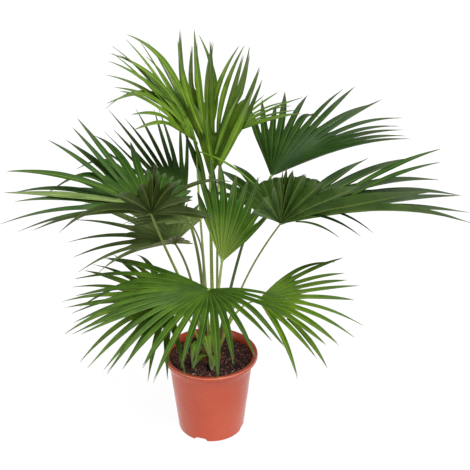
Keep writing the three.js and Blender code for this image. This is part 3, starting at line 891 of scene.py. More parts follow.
class FanShape:
    """The middle surface of a fan and the leaflets cut from it.

    Attributes:
        SAG_POWER: How late along a leaflet the sag sets in.
        LENGTH_SPREAD, SIDE_SPREAD, DROP_SPREAD, BREADTH_SPREAD: How much the leaflets differ in length,
            in drift to a side, in fall and in breadth.
        BEND, BEND_FROM, BEND_TO: How far a limp leaflet hangs, and over which part of it.
        STEP: The small step over which a normal is measured.
    """

    SAG_POWER = 2.4
    LENGTH_SPREAD = 0.2
    SIDE_SPREAD = 0.14
    DROP_SPREAD = 0.14
    BREADTH_SPREAD = 0.36
    BEND = 0.34
    BEND_FROM = 0.25
    BEND_TO = 1.25
    STEP = 0.01

    def __init__(self, fan: Fan, number: int) -> None:
        """Works out the fan's own frame and each leaflet's chances.

        Args:
            fan: The frond's sizes.
            number: The frond's number in order, which seeds its leaflets.
        """
        self.fan = fan
        self.hub = np.array(fan.hub, float)
        self.spread = math.radians(fan.spread)
        self.split = fan.split * fan.parting
        self.step = 2 * self.spread / fan.leaflets
        self._aim(*np.radians([fan.bearing, fan.rise, fan.roll]))
        order = np.arange(fan.leaflets)
        self.middle = -self.spread + (order + 0.5) * self.step
        self.stretch = 1 + self.LENGTH_SPREAD * (chance(number, order, 1) - 0.5)
        self.sideways = self.SIDE_SPREAD * (chance(number, order, 2) - 0.5)
        self.drop = self.DROP_SPREAD * (chance(number, order, 3) - 0.5)
        self.luck = chance(number, order, 4)
        self.twist = chance(number, order, 5) - 0.5
        self.prong = np.stack([chance(number, order, 6), chance(number, order, 7)], 1)
        self.breadth = 1 + self.BREADTH_SPREAD * (chance(number, order, 9) - 0.5)
        self.bend = self.BEND * ease(chance(number, order, 10), 1 - fan.limp, 1)
        self.kept = np.ones(fan.leaflets)
        for first, last, share in fan.short:
            self.kept[first:last + 1] = share
        held = 0.5 + 0.5 * chance(number, np.arange(1, fan.leaflets), 8)
        joined = fan.join * held * (np.diff(self.kept) == 0)
        margin = np.concatenate([[0.0], joined, [0.0]])
        self.joined = np.stack([margin[:-1], margin[1:]], 1)

    def _aim(self, bearing: float, rise: float, roll: float) -> None:
        """Sets the fan's frame: mid along the midrib, left across it, up out of its upper face.

        Args:
            bearing: The midrib's bearing in radians.
            rise: How far it points up.
            roll: How far the fan is turned about it.
        """
        out = np.array([math.cos(bearing), math.sin(bearing), 0.0])
        self.mid = math.cos(rise) * out + math.sin(rise) * UP
        level = math.cos(rise) * UP - math.sin(rise) * out
        self.up = level * math.cos(roll) + np.cross(level, self.mid) * math.sin(roll)
        self.left = np.cross(self.up, self.mid)

    def length(self, angle: Array) -> Array:
        """A leaflet's length at an angle from the midrib: the reach, less a share by the angle's square."""
        side = self.fan.side * (1 + self.fan.skew * np.sign(angle))
        return self.fan.reach * (1 - (1 - side) * (angle / self.spread) ** 2)

    def point(self, angle: Array, share: Array) -> Array:
        """Points of the middle surface.

        Formula: from the hub along the leaflet's ray by its length times the share, and down by the sag
        times the share to a power. The ray is lifted by the cup, and by its side's fold times the square
        of the angle's sine.

        Args:
            angle: Angles from the midrib, towards the fan's left.
            share: Shares of the leaflet's length.

        Returns:
            Points with xyz on a new last axis.
        """
        angle, share = np.broadcast_arrays(angle, share)
        fold = np.where(angle > 0, *np.radians(self.fan.fold))
        lift = math.radians(self.fan.cup) + fold * np.sin(angle) ** 2
        length = self.length(angle)
        ray = (
            (np.cos(lift) * np.cos(angle))[..., None] * self.mid
            + (np.cos(lift) * np.sin(angle))[..., None] * self.left
            + np.sin(lift)[..., None] * self.up
        )
        fall = length * self.fan.sag * share**self.SAG_POWER
        return self.hub + (length * share)[..., None] * ray - fall[..., None] * UP

    def normal(self, angle: Array, share: Array) -> Array:
        """The way out of the upper face: the cross product of the ways along and across the surface.

        Args:
            angle: Angles from the midrib.
            share: Shares of the leaflet's length.

        Returns:
            Unit vectors on a new last axis.
        """
        along = self.point(angle, share + self.STEP) - self.point(angle, share - self.STEP)
        across = self.point(angle + self.STEP, share) - self.point(angle - self.STEP, share)
        return unit(np.cross(along, across))

    def _root_chord(self) -> Array:
        """From the right to the left end of each leaflet's root, where it parts from its neighbours."""
        left = self.point(self.middle + self.step / 2, self.split)
        right = self.point(self.middle - self.step / 2, self.split)
        return left - right

    def root_half(self) -> Array:
        """Half the chord across each leaflet's root."""
        return np.linalg.norm(self._root_chord(), axis=-1) / 2

    def across_root(self) -> Array:
        """The way across each leaflet's root, towards the fan's left."""
        return unit(self._root_chord())

    def ray(self, share: Array, kept: Array) -> Array:
        """Shares of the leaflet's length at shares of its free length, where only some of that is kept."""
        return self.split + (1 - self.split) * share * kept

    def centre(self, share: Array) -> Array:
        """Points down the middle of each free leaflet.

        Formula: the surface at the leaflet's own angle, drifted sideways and down by its chances as the
        square of the share, and bowed out as a half sine. A limp leaflet's outer half bends down further.

        Args:
            share: Shares of the free length, (leaflets, rows).

        Returns:
            Points, (leaflets, rows, 3).
        """
        angle = self.middle[:, None]
        length = self.length(angle)
        kept = share * self.kept[:, None]
        reach = length * kept**2
        bowed = self.fan.bow * angle / self.spread * length * np.sin(math.pi * np.clip(share, 0, 1))
        points = self.point(angle, self.ray(kept, self.stretch[:, None]))
        points += (self.sideways[:, None] * reach + bowed)[..., None] * self.across_root()[:, None]
        points[..., 2] -= self.drop[:, None] * reach
        points[..., 2] -= self.bend[:, None] * length * ease(kept, self.BEND_FROM, self.BEND_TO)
        return points


class Blade:
    """A fan's thin pleated leaf: a whole part round the hub, then leaflets with finely notched tips.

    Attributes:
        SIDES: The right and the left half of a leaflet.
        COLUMNS, WHOLE_ROWS, FREE_ROWS, TIP_ROWS: Faces across a half, and along each of its parts.
        WHOLE_POWER: Spaces the rows of the whole part.
        FORK, LOBE_FORK, LOBE_KEPT: Where a tip divides, where it does on a lobe, and what counts as one.
        PLEAT, HUB_PLEAT, HUB_EDGE: The pleat's steepness, its gain at the hub, and where normals start.
        TAPER_POWER, SETTLE: How late a leaflet tapers, and where its own breadth has set in.
        OPENING: How slowly two joined margins open.
        PRONG_LOSS, PRONG_OUTER, PRONG_INNER: How much shorter a prong may be, and how its edges run.
        THICKNESS, TWIST: The blade's thickness, and how much the leaflets' turns about their length differ.
        DRY_FROM, DRY_SPREAD: Where a dried tip starts, and how many rows that may vary.
        RIB_ROWS, RIB_FROM, RIB_TO, RIB_SECTION: A rib's rows, its two ends and its cross-section.
    """

    SIDES = np.array([-1.0, 1.0])[None, :, None, None]
    COLUMNS = 3
    WHOLE_ROWS = 10
    WHOLE_POWER = 0.85
    FREE_ROWS = 14
    TIP_ROWS = 3
    FORK = 0.9
    LOBE_FORK = 0.86
    LOBE_KEPT = 0.5
    PLEAT = 0.74
    HUB_PLEAT = 0.6
    HUB_EDGE = 0.02
    TAPER_POWER = 2.2
    SETTLE = 0.35
    OPENING = 0.12
    PRONG_LOSS = 0.3
    PRONG_OUTER = 1.25
    PRONG_INNER = 0.8
    THICKNESS = 0.55
    TWIST = 0.9
    DRY_FROM = 0.86
    DRY_SPREAD = 3.0
    RIB_ROWS = 9
    RIB_FROM = 0.08
    RIB_TO = 0.98
    RIB_SECTION = np.array([[-0.55, -0.35], [0.0, -1.3], [0.55, -0.35]])

    def __init__(self, shape: FanShape) -> None:
        """Keeps the fan's shape and spaces the rows of its free leaflets.

        Formula: the rows are even up to the fork, and three more lie between it and the tip.

        Args:
            shape: The fan's middle surface and leaflets.
        """
        self.shape = shape
        self.fan = shape.fan
        self.fork = np.where(shape.kept < self.LOBE_KEPT, self.LOBE_FORK, self.FORK)[:, None]
        body = np.linspace(0, 1, self.FREE_ROWS + 1)[1:] * self.fork
        tip = self.fork + (1 - self.fork) * np.linspace(0, 1, self.TIP_ROWS + 1)[1:]
        self.rows = np.concatenate([body, tip], 1)

    def _half(self, share: Array) -> Array:
        """Half the width of each free leaflet.

        Formula: the root's half width, times a swelling that grows evenly, times a taper that starts
        slowly and ends in a slender point, times the leaflet's own breadth, which sets in past the root.

        Args:
            share: Shares of the free length, leaflets on the first axis.

        Returns:
            Half widths of the same shape.
        """
        shape = self.shape
        across = (-1,) + (1,) * (share.ndim - 1)
        own = 1 + (shape.breadth.reshape(across) - 1) * ease(share, 0, self.SETTLE)
        taper = np.clip(1 - share**self.TAPER_POWER, 0, 1) ** self.fan.slender
        return shape.root_half().reshape(across) * (1 + self.fan.swell * share) * taper * own

    def _pleat(self, ray: Array) -> Array:
        """The pleat's share of the half width: steep near the hub, plain from where the leaflets part."""
        return self.PLEAT + self.HUB_PLEAT * np.clip(1 - ray / self.shape.split, 0, 1)

    def _pleated(self, column: Array, ray: Array) -> Array:
        """The undivided surface.

        Formula: the fan's surface, lifted along its normal by the pleat's share of the local half width,
        from below at the ribs to above at the margins.

        Args:
            column: Shares of the way from rib to margin.
            ray: Shares of the leaflet's length, (leaflets, 1, 1, rows).

        Returns:
            Points, (leaflets, sides, columns, rows, 3).
        """
        shape = self.shape
        angle = shape.middle[:, None, None, None] + self.SIDES * column[:, None] * shape.step / 2
        half = shape.length(angle) * ray * shape.step / 2
        lift = self._pleat(ray) * half * (column[:, None] - 0.5)
        return shape.point(angle, ray) + lift[..., None] * shape.normal(angle, np.maximum(ray, self.HUB_EDGE))

    def _whole(self, column: Array) -> Array:
        """The undivided part, from the hub to where the leaflets part."""
        share = self.shape.split * np.linspace(0, 1, self.WHOLE_ROWS + 1) ** self.WHOLE_POWER
        return self._pleated(column, share[None, None, None])

    def _free(self, column: Array) -> Array:
        """The free leaflets.

        Formula: the centre line plus a sideways step and a lift. Up to the fork the step grows from the
        rib to the margin. Past it each half draws in to its own tip, which stands off the middle by half
        the width at the fork. The lift keeps the fold, and the pair slowly twists about its length. Each
        margin follows the undivided surface for its own short way before it opens.

        Args:
            column: Shares of the way from rib to margin.

        Returns:
            Points, (leaflets, sides, columns, rows, 3).
        """
        shape, fan = self.shape, self.fan
        share = self.rows[:, None, None]
        fork = self.fork[:, None, None]
        prong = 1 - self.PRONG_LOSS * shape.prong[:, :, None, None]
        beyond = np.clip((share - fork) / (1 - fork), 0, 1)
        used = np.where(share > fork, fork + (share - fork) * prong, share)
        at_fork, plain = self._half(fork), self._half(share)
        outer = np.where(share > fork, at_fork * (1 - 0.5 * beyond**self.PRONG_OUTER), plain)
        inner = np.where(share > fork, at_fork * 0.5 * beyond**self.PRONG_INNER, 0)
        step = inner + column[:, None] * (outer - inner)
        width = np.where(share > fork, at_fork * (1 - beyond), plain)
        lift = self.PLEAT * (step - 0.5 * width)
        flat = used[:, :, 0].reshape(fan.leaflets, -1)
        ray = shape.ray(flat, shape.kept[:, None])
        centre = shape.centre(flat).reshape(fan.leaflets, 2, 1, -1, 3)
        normal = shape.normal(shape.middle[:, None], ray).reshape(fan.leaflets, 2, 1, -1, 3)
        across = shape.across_root()[:, None, None, None]
        turn = (self.TWIST * shape.twist[:, None, None, None] * share**2)[..., None]
        level = across * np.cos(turn) + normal * np.sin(turn)
        raised = normal * np.cos(turn) - across * np.sin(turn)
        own = centre + (self.SIDES * step)[..., None] * level + lift[..., None] * raised
        whole = self._pleated(column, shape.ray(share, shape.kept[:, None, None, None]))
        joined = shape.joined[:, :, None, None]
        hold = np.where(joined > 0, 1 - ease(share, joined, joined + self.OPENING), 0) * column[:, None]
        return own + hold[..., None] * (whole - own)

    def sheet(self) -> Surface:
        """The whole leaf as one sheet.

        Formula: the undivided part's rows followed by the free rows. The chart runs across by the
        leaflet's number and along by the share of its length.

        Returns:
            The sheet. Faces near withered tips wear the second pair of finishes.
        """
        shape, count = self.shape, self.fan.leaflets
        column = np.linspace(0, 1, self.COLUMNS + 1)
        points = np.concatenate([self._whole(column), self._free(column)], axis=3)
        rows = points.shape[3]
        block = (self.COLUMNS + 1) * rows
        quads = grid_faces(self.COLUMNS + 1, rows)
        starts = np.arange(count)[:, None, None] * 2 * block
        faces = np.stack([starts + quads[:, ::-1], starts + block + quads], 1).reshape(-1, 4)
        whole = shape.split * np.linspace(0, 1, self.WHOLE_ROWS + 1)[None] + 0 * self.fork
        share = np.concatenate([whole, shape.ray(self.rows, 1.0)], 1)
        across = np.arange(count)[:, None, None, None] + 0.5 + 0.5 * self.SIDES * column[:, None]
        chart = side_by_side(across, share[:, None, None])
        return Surface(points.reshape(-1, 3), faces, chart.reshape(-1, 2), self._tints(rows))

    def _tints(self, rows: int) -> Array:
        """Chooses each face's finish.

        Args:
            rows: Rows of points along a leaflet.

        Returns:
            For each face 2 near the tip of a withered leaflet, otherwise 0.
        """
        withered = self.shape.luck < self.fan.withered
        free = self.FREE_ROWS + self.TIP_ROWS
        start = self.WHOLE_ROWS + self.DRY_FROM * free + self.DRY_SPREAD * self.shape.twist
        dry = withered[:, None] & (np.arange(rows - 1)[None] >= start[:, None])
        tint = np.where(dry, 2, 0)[:, None, None]
        return np.broadcast_to(tint, (self.fan.leaflets, 2, self.COLUMNS, rows - 1)).reshape(-1)

    def ribs(self) -> Surface:
        """The raised ribs under the leaflets.

        Formula: a three-cornered section carried below each leaflet's fold from near the hub to its fork,
        drawn in evenly on the way.

        Returns:
            The closed ribs, joined.
        """
        shape = self.shape
        angle = shape.middle[:, None]
        whole = np.linspace(self.RIB_FROM, 1, self.RIB_ROWS)[None] * shape.split + 0 * angle
        free = np.linspace(0, 1, self.RIB_ROWS + 1)[1:] * self.fork * self.RIB_TO
        half = shape.length(angle) * whole * shape.step / 2
        normal = shape.normal(angle, np.concatenate([whole, shape.ray(free, shape.kept[:, None])], 1))
        drop = 0.5 * np.concatenate([self._pleat(whole) * half, self.PLEAT * self._half(free)], 1)
        path = np.concatenate([shape.point(angle, whole), shape.centre(free)], 1) - drop[..., None] * normal
        across = np.broadcast_to(shape.across_root()[:, None], path.shape)
        taper = np.linspace(1, 0.2, path.shape[1]) * (0.4 + self.fan.reach * MM)
        section = self.RIB_SECTION * taper[:, None, None] - np.array([0, self.THICKNESS * 0.6])
        return Surface.join([tube(p, a, n, section) for p, a, n in zip(path, across, normal)])


# ------------------------------------------------------------------------------------------ trunk
@dataclass
class Trunk:
    """The short leaning base that the stalks clasp, wrapped in leaf-base fibre.

    Attributes:
        foot, top: The heights between which it stands.
        flare_radius, low_radius, tip_radius: Its radius at the root flare, above that and at its top.
        lean: How far its top stands over towards +X.
        sheaths: How many sheath edges lie one above another.
        sheath_turns: How many of their edges one level turn round the trunk crosses.
        sheath_step: How far an edge stands out.
        strands: How many loose strands there are.
        strand_rows: Points along a strand.
        drift: How far a strand may wander round the trunk, in degrees.
        fray: How far the frayed ends stand off.
        columns, rows: Points round the trunk and up it.
        LID: The rings that close its top, each as a share of the radius and a height above it.
    """

    foot: float = 176.35
    top: float = TRUNK_TOP
    flare_radius: float = 27.0
    low_radius: float = 17.0
    tip_radius: float = 13.0
    lean: float = 5.0
    sheaths: int = 7
    sheath_turns: int = 2
    sheath_step: float = 1.5
    strands: int = 190
    strand_rows: int = 12
    drift: float = 95.0
    fray: float = 3.5
    columns: int = 120
    rows: int = 70

    LID = ((0.8, 1.2), (0.4, 1.8), (0.0, 2.0))

    def middle(self, share: Array | float) -> Array:
        """The leaning axis at a share of the height."""
        share = np.asarray(share, float)
        return np.stack([self.lean * share, 0 * share, self.foot + share * (self.top - self.foot)], -1)

    def radius(self, share: Array | float) -> Array:
        """The plain radius: a flare that dies away upwards, and a slow taper.

        Args:
            share: Shares of the height.

        Returns:
            Radii of the same shape.
        """
        share = np.asarray(share, float)
        flare = (self.flare_radius - self.low_radius) * np.exp(-share * 9)
        return self.low_radius + flare + (self.tip_radius - self.low_radius) * share**1.6

    def share_at(self, height: float) -> float:
        """The share of the trunk's height at a height."""
        return (height - self.foot) / (self.top - self.foot)

    def skin(self) -> Surface:
        """The trunk's skin.

        Formula: the plain radius, plus overlapping sheath edges that climb in a spiral, plus upright
        fibre ridges from sines of the bearing. It closes over a rounded top and a flat foot.

        Returns:
            The closed skin.
        """
        share = np.linspace(0, 1, self.rows)[:, None]
        turn = full_turn(self.columns)
        climb = share * self.sheaths + turn / (2 * math.pi) * self.sheath_turns
        sheath = self.sheath_step * (1 - (climb % 1)) ** 1.5
        ridges = 0.45 * np.sin(31 * turn + 9 * share) + 0.35 * np.sin(53 * turn - 14 * share + 1)
        radius = self.radius(share) - 1.2 + sheath + ridges * (0.4 + 0.6 * share)
        foot, top = self.middle(0.0), self.middle(1.0)
        base = np.repeat(foot[None, None], self.columns, 1)
        ring = around(turn, radius, 0) + self.middle(share[:, 0])[:, None]
        lid = [top + around(turn, radius[-1:] * part, lift) for part, lift in self.LID]
        points = np.concatenate([base, ring, *lid])
        return Surface(points.reshape(-1, 3), grid_faces(len(points), self.columns, wrap=True))

    def fibres(self) -> Surface:
        """Loose strands of leaf-base fibre.

        Formula: each strand climbs part of the trunk while it drifts round it, waves in and out a little,
        and is a thin three-sided tube. Some stand off at their upper ends.

        Returns:
            The closed strands, joined.
        """
        number = np.arange(self.strands)[:, None]
        start = chance(number, 3, 1) * 0.75
        rise = 0.2 + 0.5 * chance(number, 5, 2)
        bearing = 360 * chance(number, 7, 3)
        drift = self.drift * (chance(number, 9, 4) - 0.5) * 2
        frayed = chance(number, 2, 6) > 0.7
        along = np.linspace(0, 1, self.strand_rows)[None]
        share = np.minimum(start + rise * along, 1.06)
        wave = 1.3 + 1.2 * np.sin(3 * along * math.pi + number) + self.fray * along**4 * frayed
        degrees = bearing + drift * along
        path = polar(degrees, self.radius(np.minimum(share, 1)) + wave, 0) + self.middle(share)
        way = unit(np.gradient(path, axis=1))
        side = unit(np.cross(way, polar(degrees, 1.0, 0.0)))
        top = np.cross(side, way)
        thin = 0.32 * np.sin(np.linspace(0.15, 0.95, self.strand_rows) * math.pi) + 0.08
        corner = np.radians([90, 210, 330])
        section = thin[:, None, None] * side_by_side(np.cos(corner), np.sin(corner))
        return Surface.join([tube(p, s, t, section) for p, s, t in zip(path, side, top)])


# ----------------------------------------------------------------------------------------- stalks
class Stalk:
    """A leaf stalk: flat above, round below, clasping the trunk and running on under the fan.

    Attributes:
        FOOT_RADIUS, TIP_RADIUS: Its radius at either end.
        TOP_FOOT_RADIUS: How far from the axis a stalk on the trunk's top stands.
        SEAT_AIR: The air that its solid leaves at its seats.
        ROWS, CORNERS: Points along it and round it.
        CLASP_ROWS, CLASP_DROP: The part that sinks against the trunk.
        COSTA_ROWS, COSTA_SHARE: The part that runs on under the fan.
        THORNED, THORNS, THORN_SIZE: How far up the thorns go, how many there are and how big.
        LEAVE: How steeply it leaves the trunk.
        CREST, CREST_TURNS, CREST_RINGS: The crest's half length, half width and height, and its points.
    """

    FOOT_RADIUS = 4.4
    TIP_RADIUS = 2.6
    TOP_FOOT_RADIUS = 8.6
    SEAT_AIR = 0.45
    ROWS = 54
    CORNERS = 20
    CLASP_ROWS = 9
    CLASP_DROP = 17.0
    COSTA_ROWS = 9
    COSTA_SHARE = 0.13
    THORNED = 0.5
    THORNS = 13
    THORN_SIZE = 0.75
    LEAVE = 0.35
    CREST = (5.2, 3.6, 1.5)
    CREST_TURNS = 16
    CREST_RINGS = 9

    def __init__(self, shape: FanShape, trunk: Trunk) -> None:
        """Works out the stalk's line by the same rule as its solid.

        Formula: a cubic curve that leaves the trunk a little steeper than its way out and arrives along
        its aim. Below its foot it sinks against the trunk, and past its tip it runs under the fan's midrib.

        Args:
            shape: The fan that it carries.
            trunk: What it stands on.
        """
        fan = shape.fan
        self.shape = shape
        bearing, height = fan.foot
        on_tip = height >= trunk.top
        share = min(1.0, trunk.share_at(height))
        beside = float(trunk.radius(share)) + self.FOOT_RADIUS + self.SEAT_AIR
        self.outward = polar(bearing, 1.0, 0.0)
        foot = trunk.middle(share) + self.outward * (self.TOP_FOOT_RADIUS if on_tip else beside)
        aim = unit(np.array(fan.aim, float))
        back = abs(aim @ shape.up) * 0.5 * max(3.1, fan.reach * 0.0108) + self.SEAT_AIR
        tip = shape.hub - aim * back
        span = np.linalg.norm(tip - foot)
        leave = self.LEAVE * UP + (1 - self.LEAVE) * unit(tip - foot)
        handles = [foot, foot + leave * 0.4 * span, tip - aim * 0.3 * span, tip]
        t = np.linspace(0, 1, self.ROWS)[:, None]
        weights = ((1 - t) ** 3, 3 * (1 - t) ** 2 * t, 3 * (1 - t) * t**2, t**3)
        curve = sum(weight * handle for weight, handle in zip(weights, handles))
        sink = np.linspace(1, 0, self.CLASP_ROWS, endpoint=False)[:, None]
        inward = 0.0 if on_tip else self.FOOT_RADIUS + 1.5
        clasp = foot - self.CLASP_DROP * UP * sink - self.outward * inward * sink**1.3
        under = np.linspace(0, self.COSTA_SHARE, self.COSTA_ROWS + 1)[1:]
        costa = shape.point(np.zeros(self.COSTA_ROWS), under) - shape.up * 1.6
        self.path = np.concatenate([clasp, curve, costa])
        self.share = np.concatenate([-sink[:, 0], t[:, 0], 1 + np.linspace(0, 1, self.COSTA_ROWS)])

    def _frame(self) -> tuple[Array, Array]:
        """The stalk's own ways at each point of its path.

        Returns:
            Unit vectors across it and out of its flat upper side.
        """
        along = unit(np.gradient(self.path, axis=0))
        side = unit(np.cross(along, (self.LEAVE * UP - self.outward)[None]))
        return side, np.cross(side, along)

    def _radius(self) -> Array:
        """The stalk's radius along its path: thinner towards its tip, and drawn in under the fan.

        Returns:
            One radius for each point of the path.
        """
        share = np.clip(self.share, 0, 1)
        plain = self.FOOT_RADIUS + (self.TIP_RADIUS - self.FOOT_RADIUS) * share**0.7
        costa = 1 - 0.8 * np.clip(self.share - 1, 0, 1) ** 0.7
        return plain * costa

    def surface(self) -> Surface:
        """The stalk's skin.

        Formula: a section that is a half round below and a shallow channel above, widened where it
        clasps the trunk, with fine lengthwise grooves, carried along the path.

        Returns:
            The closed stalk.
        """
        side, top = self._frame()
        turn = full_turn(self.CORNERS)
        radius = self._radius()[:, None]
        clasp = np.exp(-np.maximum(self.share, 0) * 22)[:, None]
        across = radius * np.cos(turn) * (1.08 + 0.9 * clasp)
        rise = np.sin(turn)
        channel = 0.42 * rise - 0.3 * (1 - np.cos(turn) ** 2) * rise**4
        height = radius * np.where(rise > 0, channel, rise * (0.98 - 0.35 * clasp))
        grooves = 1 + 0.025 * np.cos(7 * turn)
        return tube(self.path, side, top, side_by_side(across * grooves, height * grooves))

    def thorns(self) -> Surface:
        """The small hooked thorns on both edges of the lower stalk.

        Formula: four-cornered spikes, each from a base on the edge to a tip outward and a little back,
        and smaller the higher they stand.

        Returns:
            The closed thorns, joined.
        """
        spots = np.linspace(0.05, self.THORNED, self.THORNS)
        rows = self.CLASP_ROWS + np.round(spots * (self.ROWS - 1)).astype(int)
        side, top = (way[rows] for way in self._frame())
        along = unit(np.gradient(self.path, axis=0))[rows]
        size = self.THORN_SIZE * (1 - 0.5 * spots[:, None])
        ahead, above = along * size, top * size * 0.5
        parts = []
        for way in (-1.0, 1.0):
            edge = self.path[rows] + way * side * self._radius()[rows, None]
            tip = edge + way * side * 2.1 * size - 0.9 * ahead
            heel = edge - way * side * 0.8
            corners = np.stack([edge + ahead, edge + above, edge - ahead, edge - above, tip, heel], 1)
            parts.append(spikes(corners, turn_over=way > 0))
        return Surface.join(parts)

    def crest(self) -> Surface:
        """The small raised crest where the stalk ends on the fan's upper side: a flattened ball.

        Returns:
            The closed ball.
        """
        shape, (long, wide, tall) = self.shape, self.CREST
        turn = full_turn(self.CREST_TURNS)
        tilt = np.linspace(-math.pi / 2, math.pi / 2, self.CREST_RINGS)[:, None]
        points = shape.hub + shape.mid * 2.5 + shape.up * 0.2 + (
            (np.cos(tilt) * np.cos(turn) * long)[..., None] * shape.mid
            + (np.cos(tilt) * np.sin(turn) * wide)[..., None] * shape.left
            + (np.sin(tilt) * tall + 0 * turn)[..., None] * shape.up
        )
        faces = grid_faces(self.CREST_RINGS, self.CREST_TURNS, wrap=True)
        return Surface(points.reshape(-1, 3), faces)


# ----------------------------------------------------------------------------------- strap leaves
@dataclass(frozen=True)
class StrapLeaf:
    """A young undivided leaf that hangs over the soil, folded along its middle.

    Attributes:
        name: Its name.
        foot: Its seat on the trunk, as bearing and height.
        tip: Where it ends.
        arch: How high it arches between them.
        width: Its widest.
    """

    name: str
    foot: tuple[float, float]
    tip: Triple
    arch: float
    width: float

    ROWS = 22
    COLUMNS = 6
    FOLD = 0.35
    TAPERED = 0.22

    def surface(self, trunk: Trunk) -> Surface:
        """The strap as a sheet.

        Formula: the straight line from foot to tip, raised by a parabola, with points stepped across it
        by a width that swells and tapers, and lifted towards the margins.

        Args:
            trunk: What it stands on.

        Returns:
            The sheet.
        """
        bearing, height = self.foot
        share_up = trunk.share_at(height)
        foot = trunk.middle(share_up) + polar(bearing, float(trunk.radius(share_up)) - 1.5, 0.0)
        line = np.array(self.tip, float) - foot
        share = np.linspace(0, 1, self.ROWS)[:, None]
        column = np.linspace(-1, 1, self.COLUMNS + 1)[None]
        swell = 0.45 + 0.55 * np.sin(math.pi * np.minimum(1, share * 0.62 + 0.2))
        half = self.width / 2 * swell * np.clip((1 - share) / self.TAPERED, 0, 1) ** 0.6
        middle = foot + share * line + 4 * self.arch * UP * share * (1 - share)
        points = middle[:, None] + (column * half)[..., None] * unit(np.cross(line, UP))
        points[..., 2] += np.abs(column) * half * self.FOLD - 0.12 * half
        chart = side_by_side(0.5 + 0.5 * column, share).reshape(-1, 2)
        return Surface(points.reshape(-1, 3), grid_faces(self.ROWS, self.COLUMNS + 1), chart)


@dataclass(frozen=True)
class LooseLeaflet:
    """A leaflet that has slipped out of its fan's surface and arches on its own.

    Attributes:
        foot: Where it starts, in its fan.
        tip: Where it ends.
        arch: How far its middle stands off the straight line between them.
        width: Its widest.
        tone: How green it is.
        shown: The way its upper side faces.
    """

    foot: Triple
    tip: Triple
    arch: Triple
    width: float
    tone: Tone
    shown: Triple = (0.0, -0.5, 0.85)

    ROWS = 26
    COLUMNS = 4
    FOLD = 0.45
    TAPERED = 0.5

    def surface(self) -> Surface:
        """The leaflet as a folded sheet.

        Formula: the straight line from foot to tip plus the arch as a parabola, with points stepped
        across it by a width that swells to its middle and draws in to the tip, and lifted towards the
        margins.

        Returns:
            The sheet.
        """
        foot, tip, arch, shown = (np.array(v, float) for v in (self.foot, self.tip, self.arch, self.shown))
        share = np.linspace(0, 1, self.ROWS)[:, None]
        column = np.linspace(-1, 1, self.COLUMNS + 1)[None]
        middle = foot + share * (tip - foot) + 4 * share * (1 - share) * arch
        along = unit(np.gradient(middle, axis=0))
        across = np.broadcast_to(unit(np.cross(tip - foot, shown)), along.shape)
        normal = unit(np.cross(across, along))
        swell = 0.3 + 0.7 * np.sin(math.pi * (0.12 + 0.62 * share))
        half = self.width / 2 * swell * np.clip((1 - share) / self.TAPERED, 0, 1) ** 0.75
        points = middle[:, None] + (column * half)[..., None] * across[:, None]
        points += (self.FOLD * half * (np.abs(column) - 0.5))[..., None] * normal[:, None]
        chart = side_by_side(0.5 + 0.5 * column, share).reshape(-1, 2)
        return Surface(points.reshape(-1, 3), grid_faces(self.ROWS, self.COLUMNS + 1), chart)


BELOW = (0.0, 0.5, -0.85)

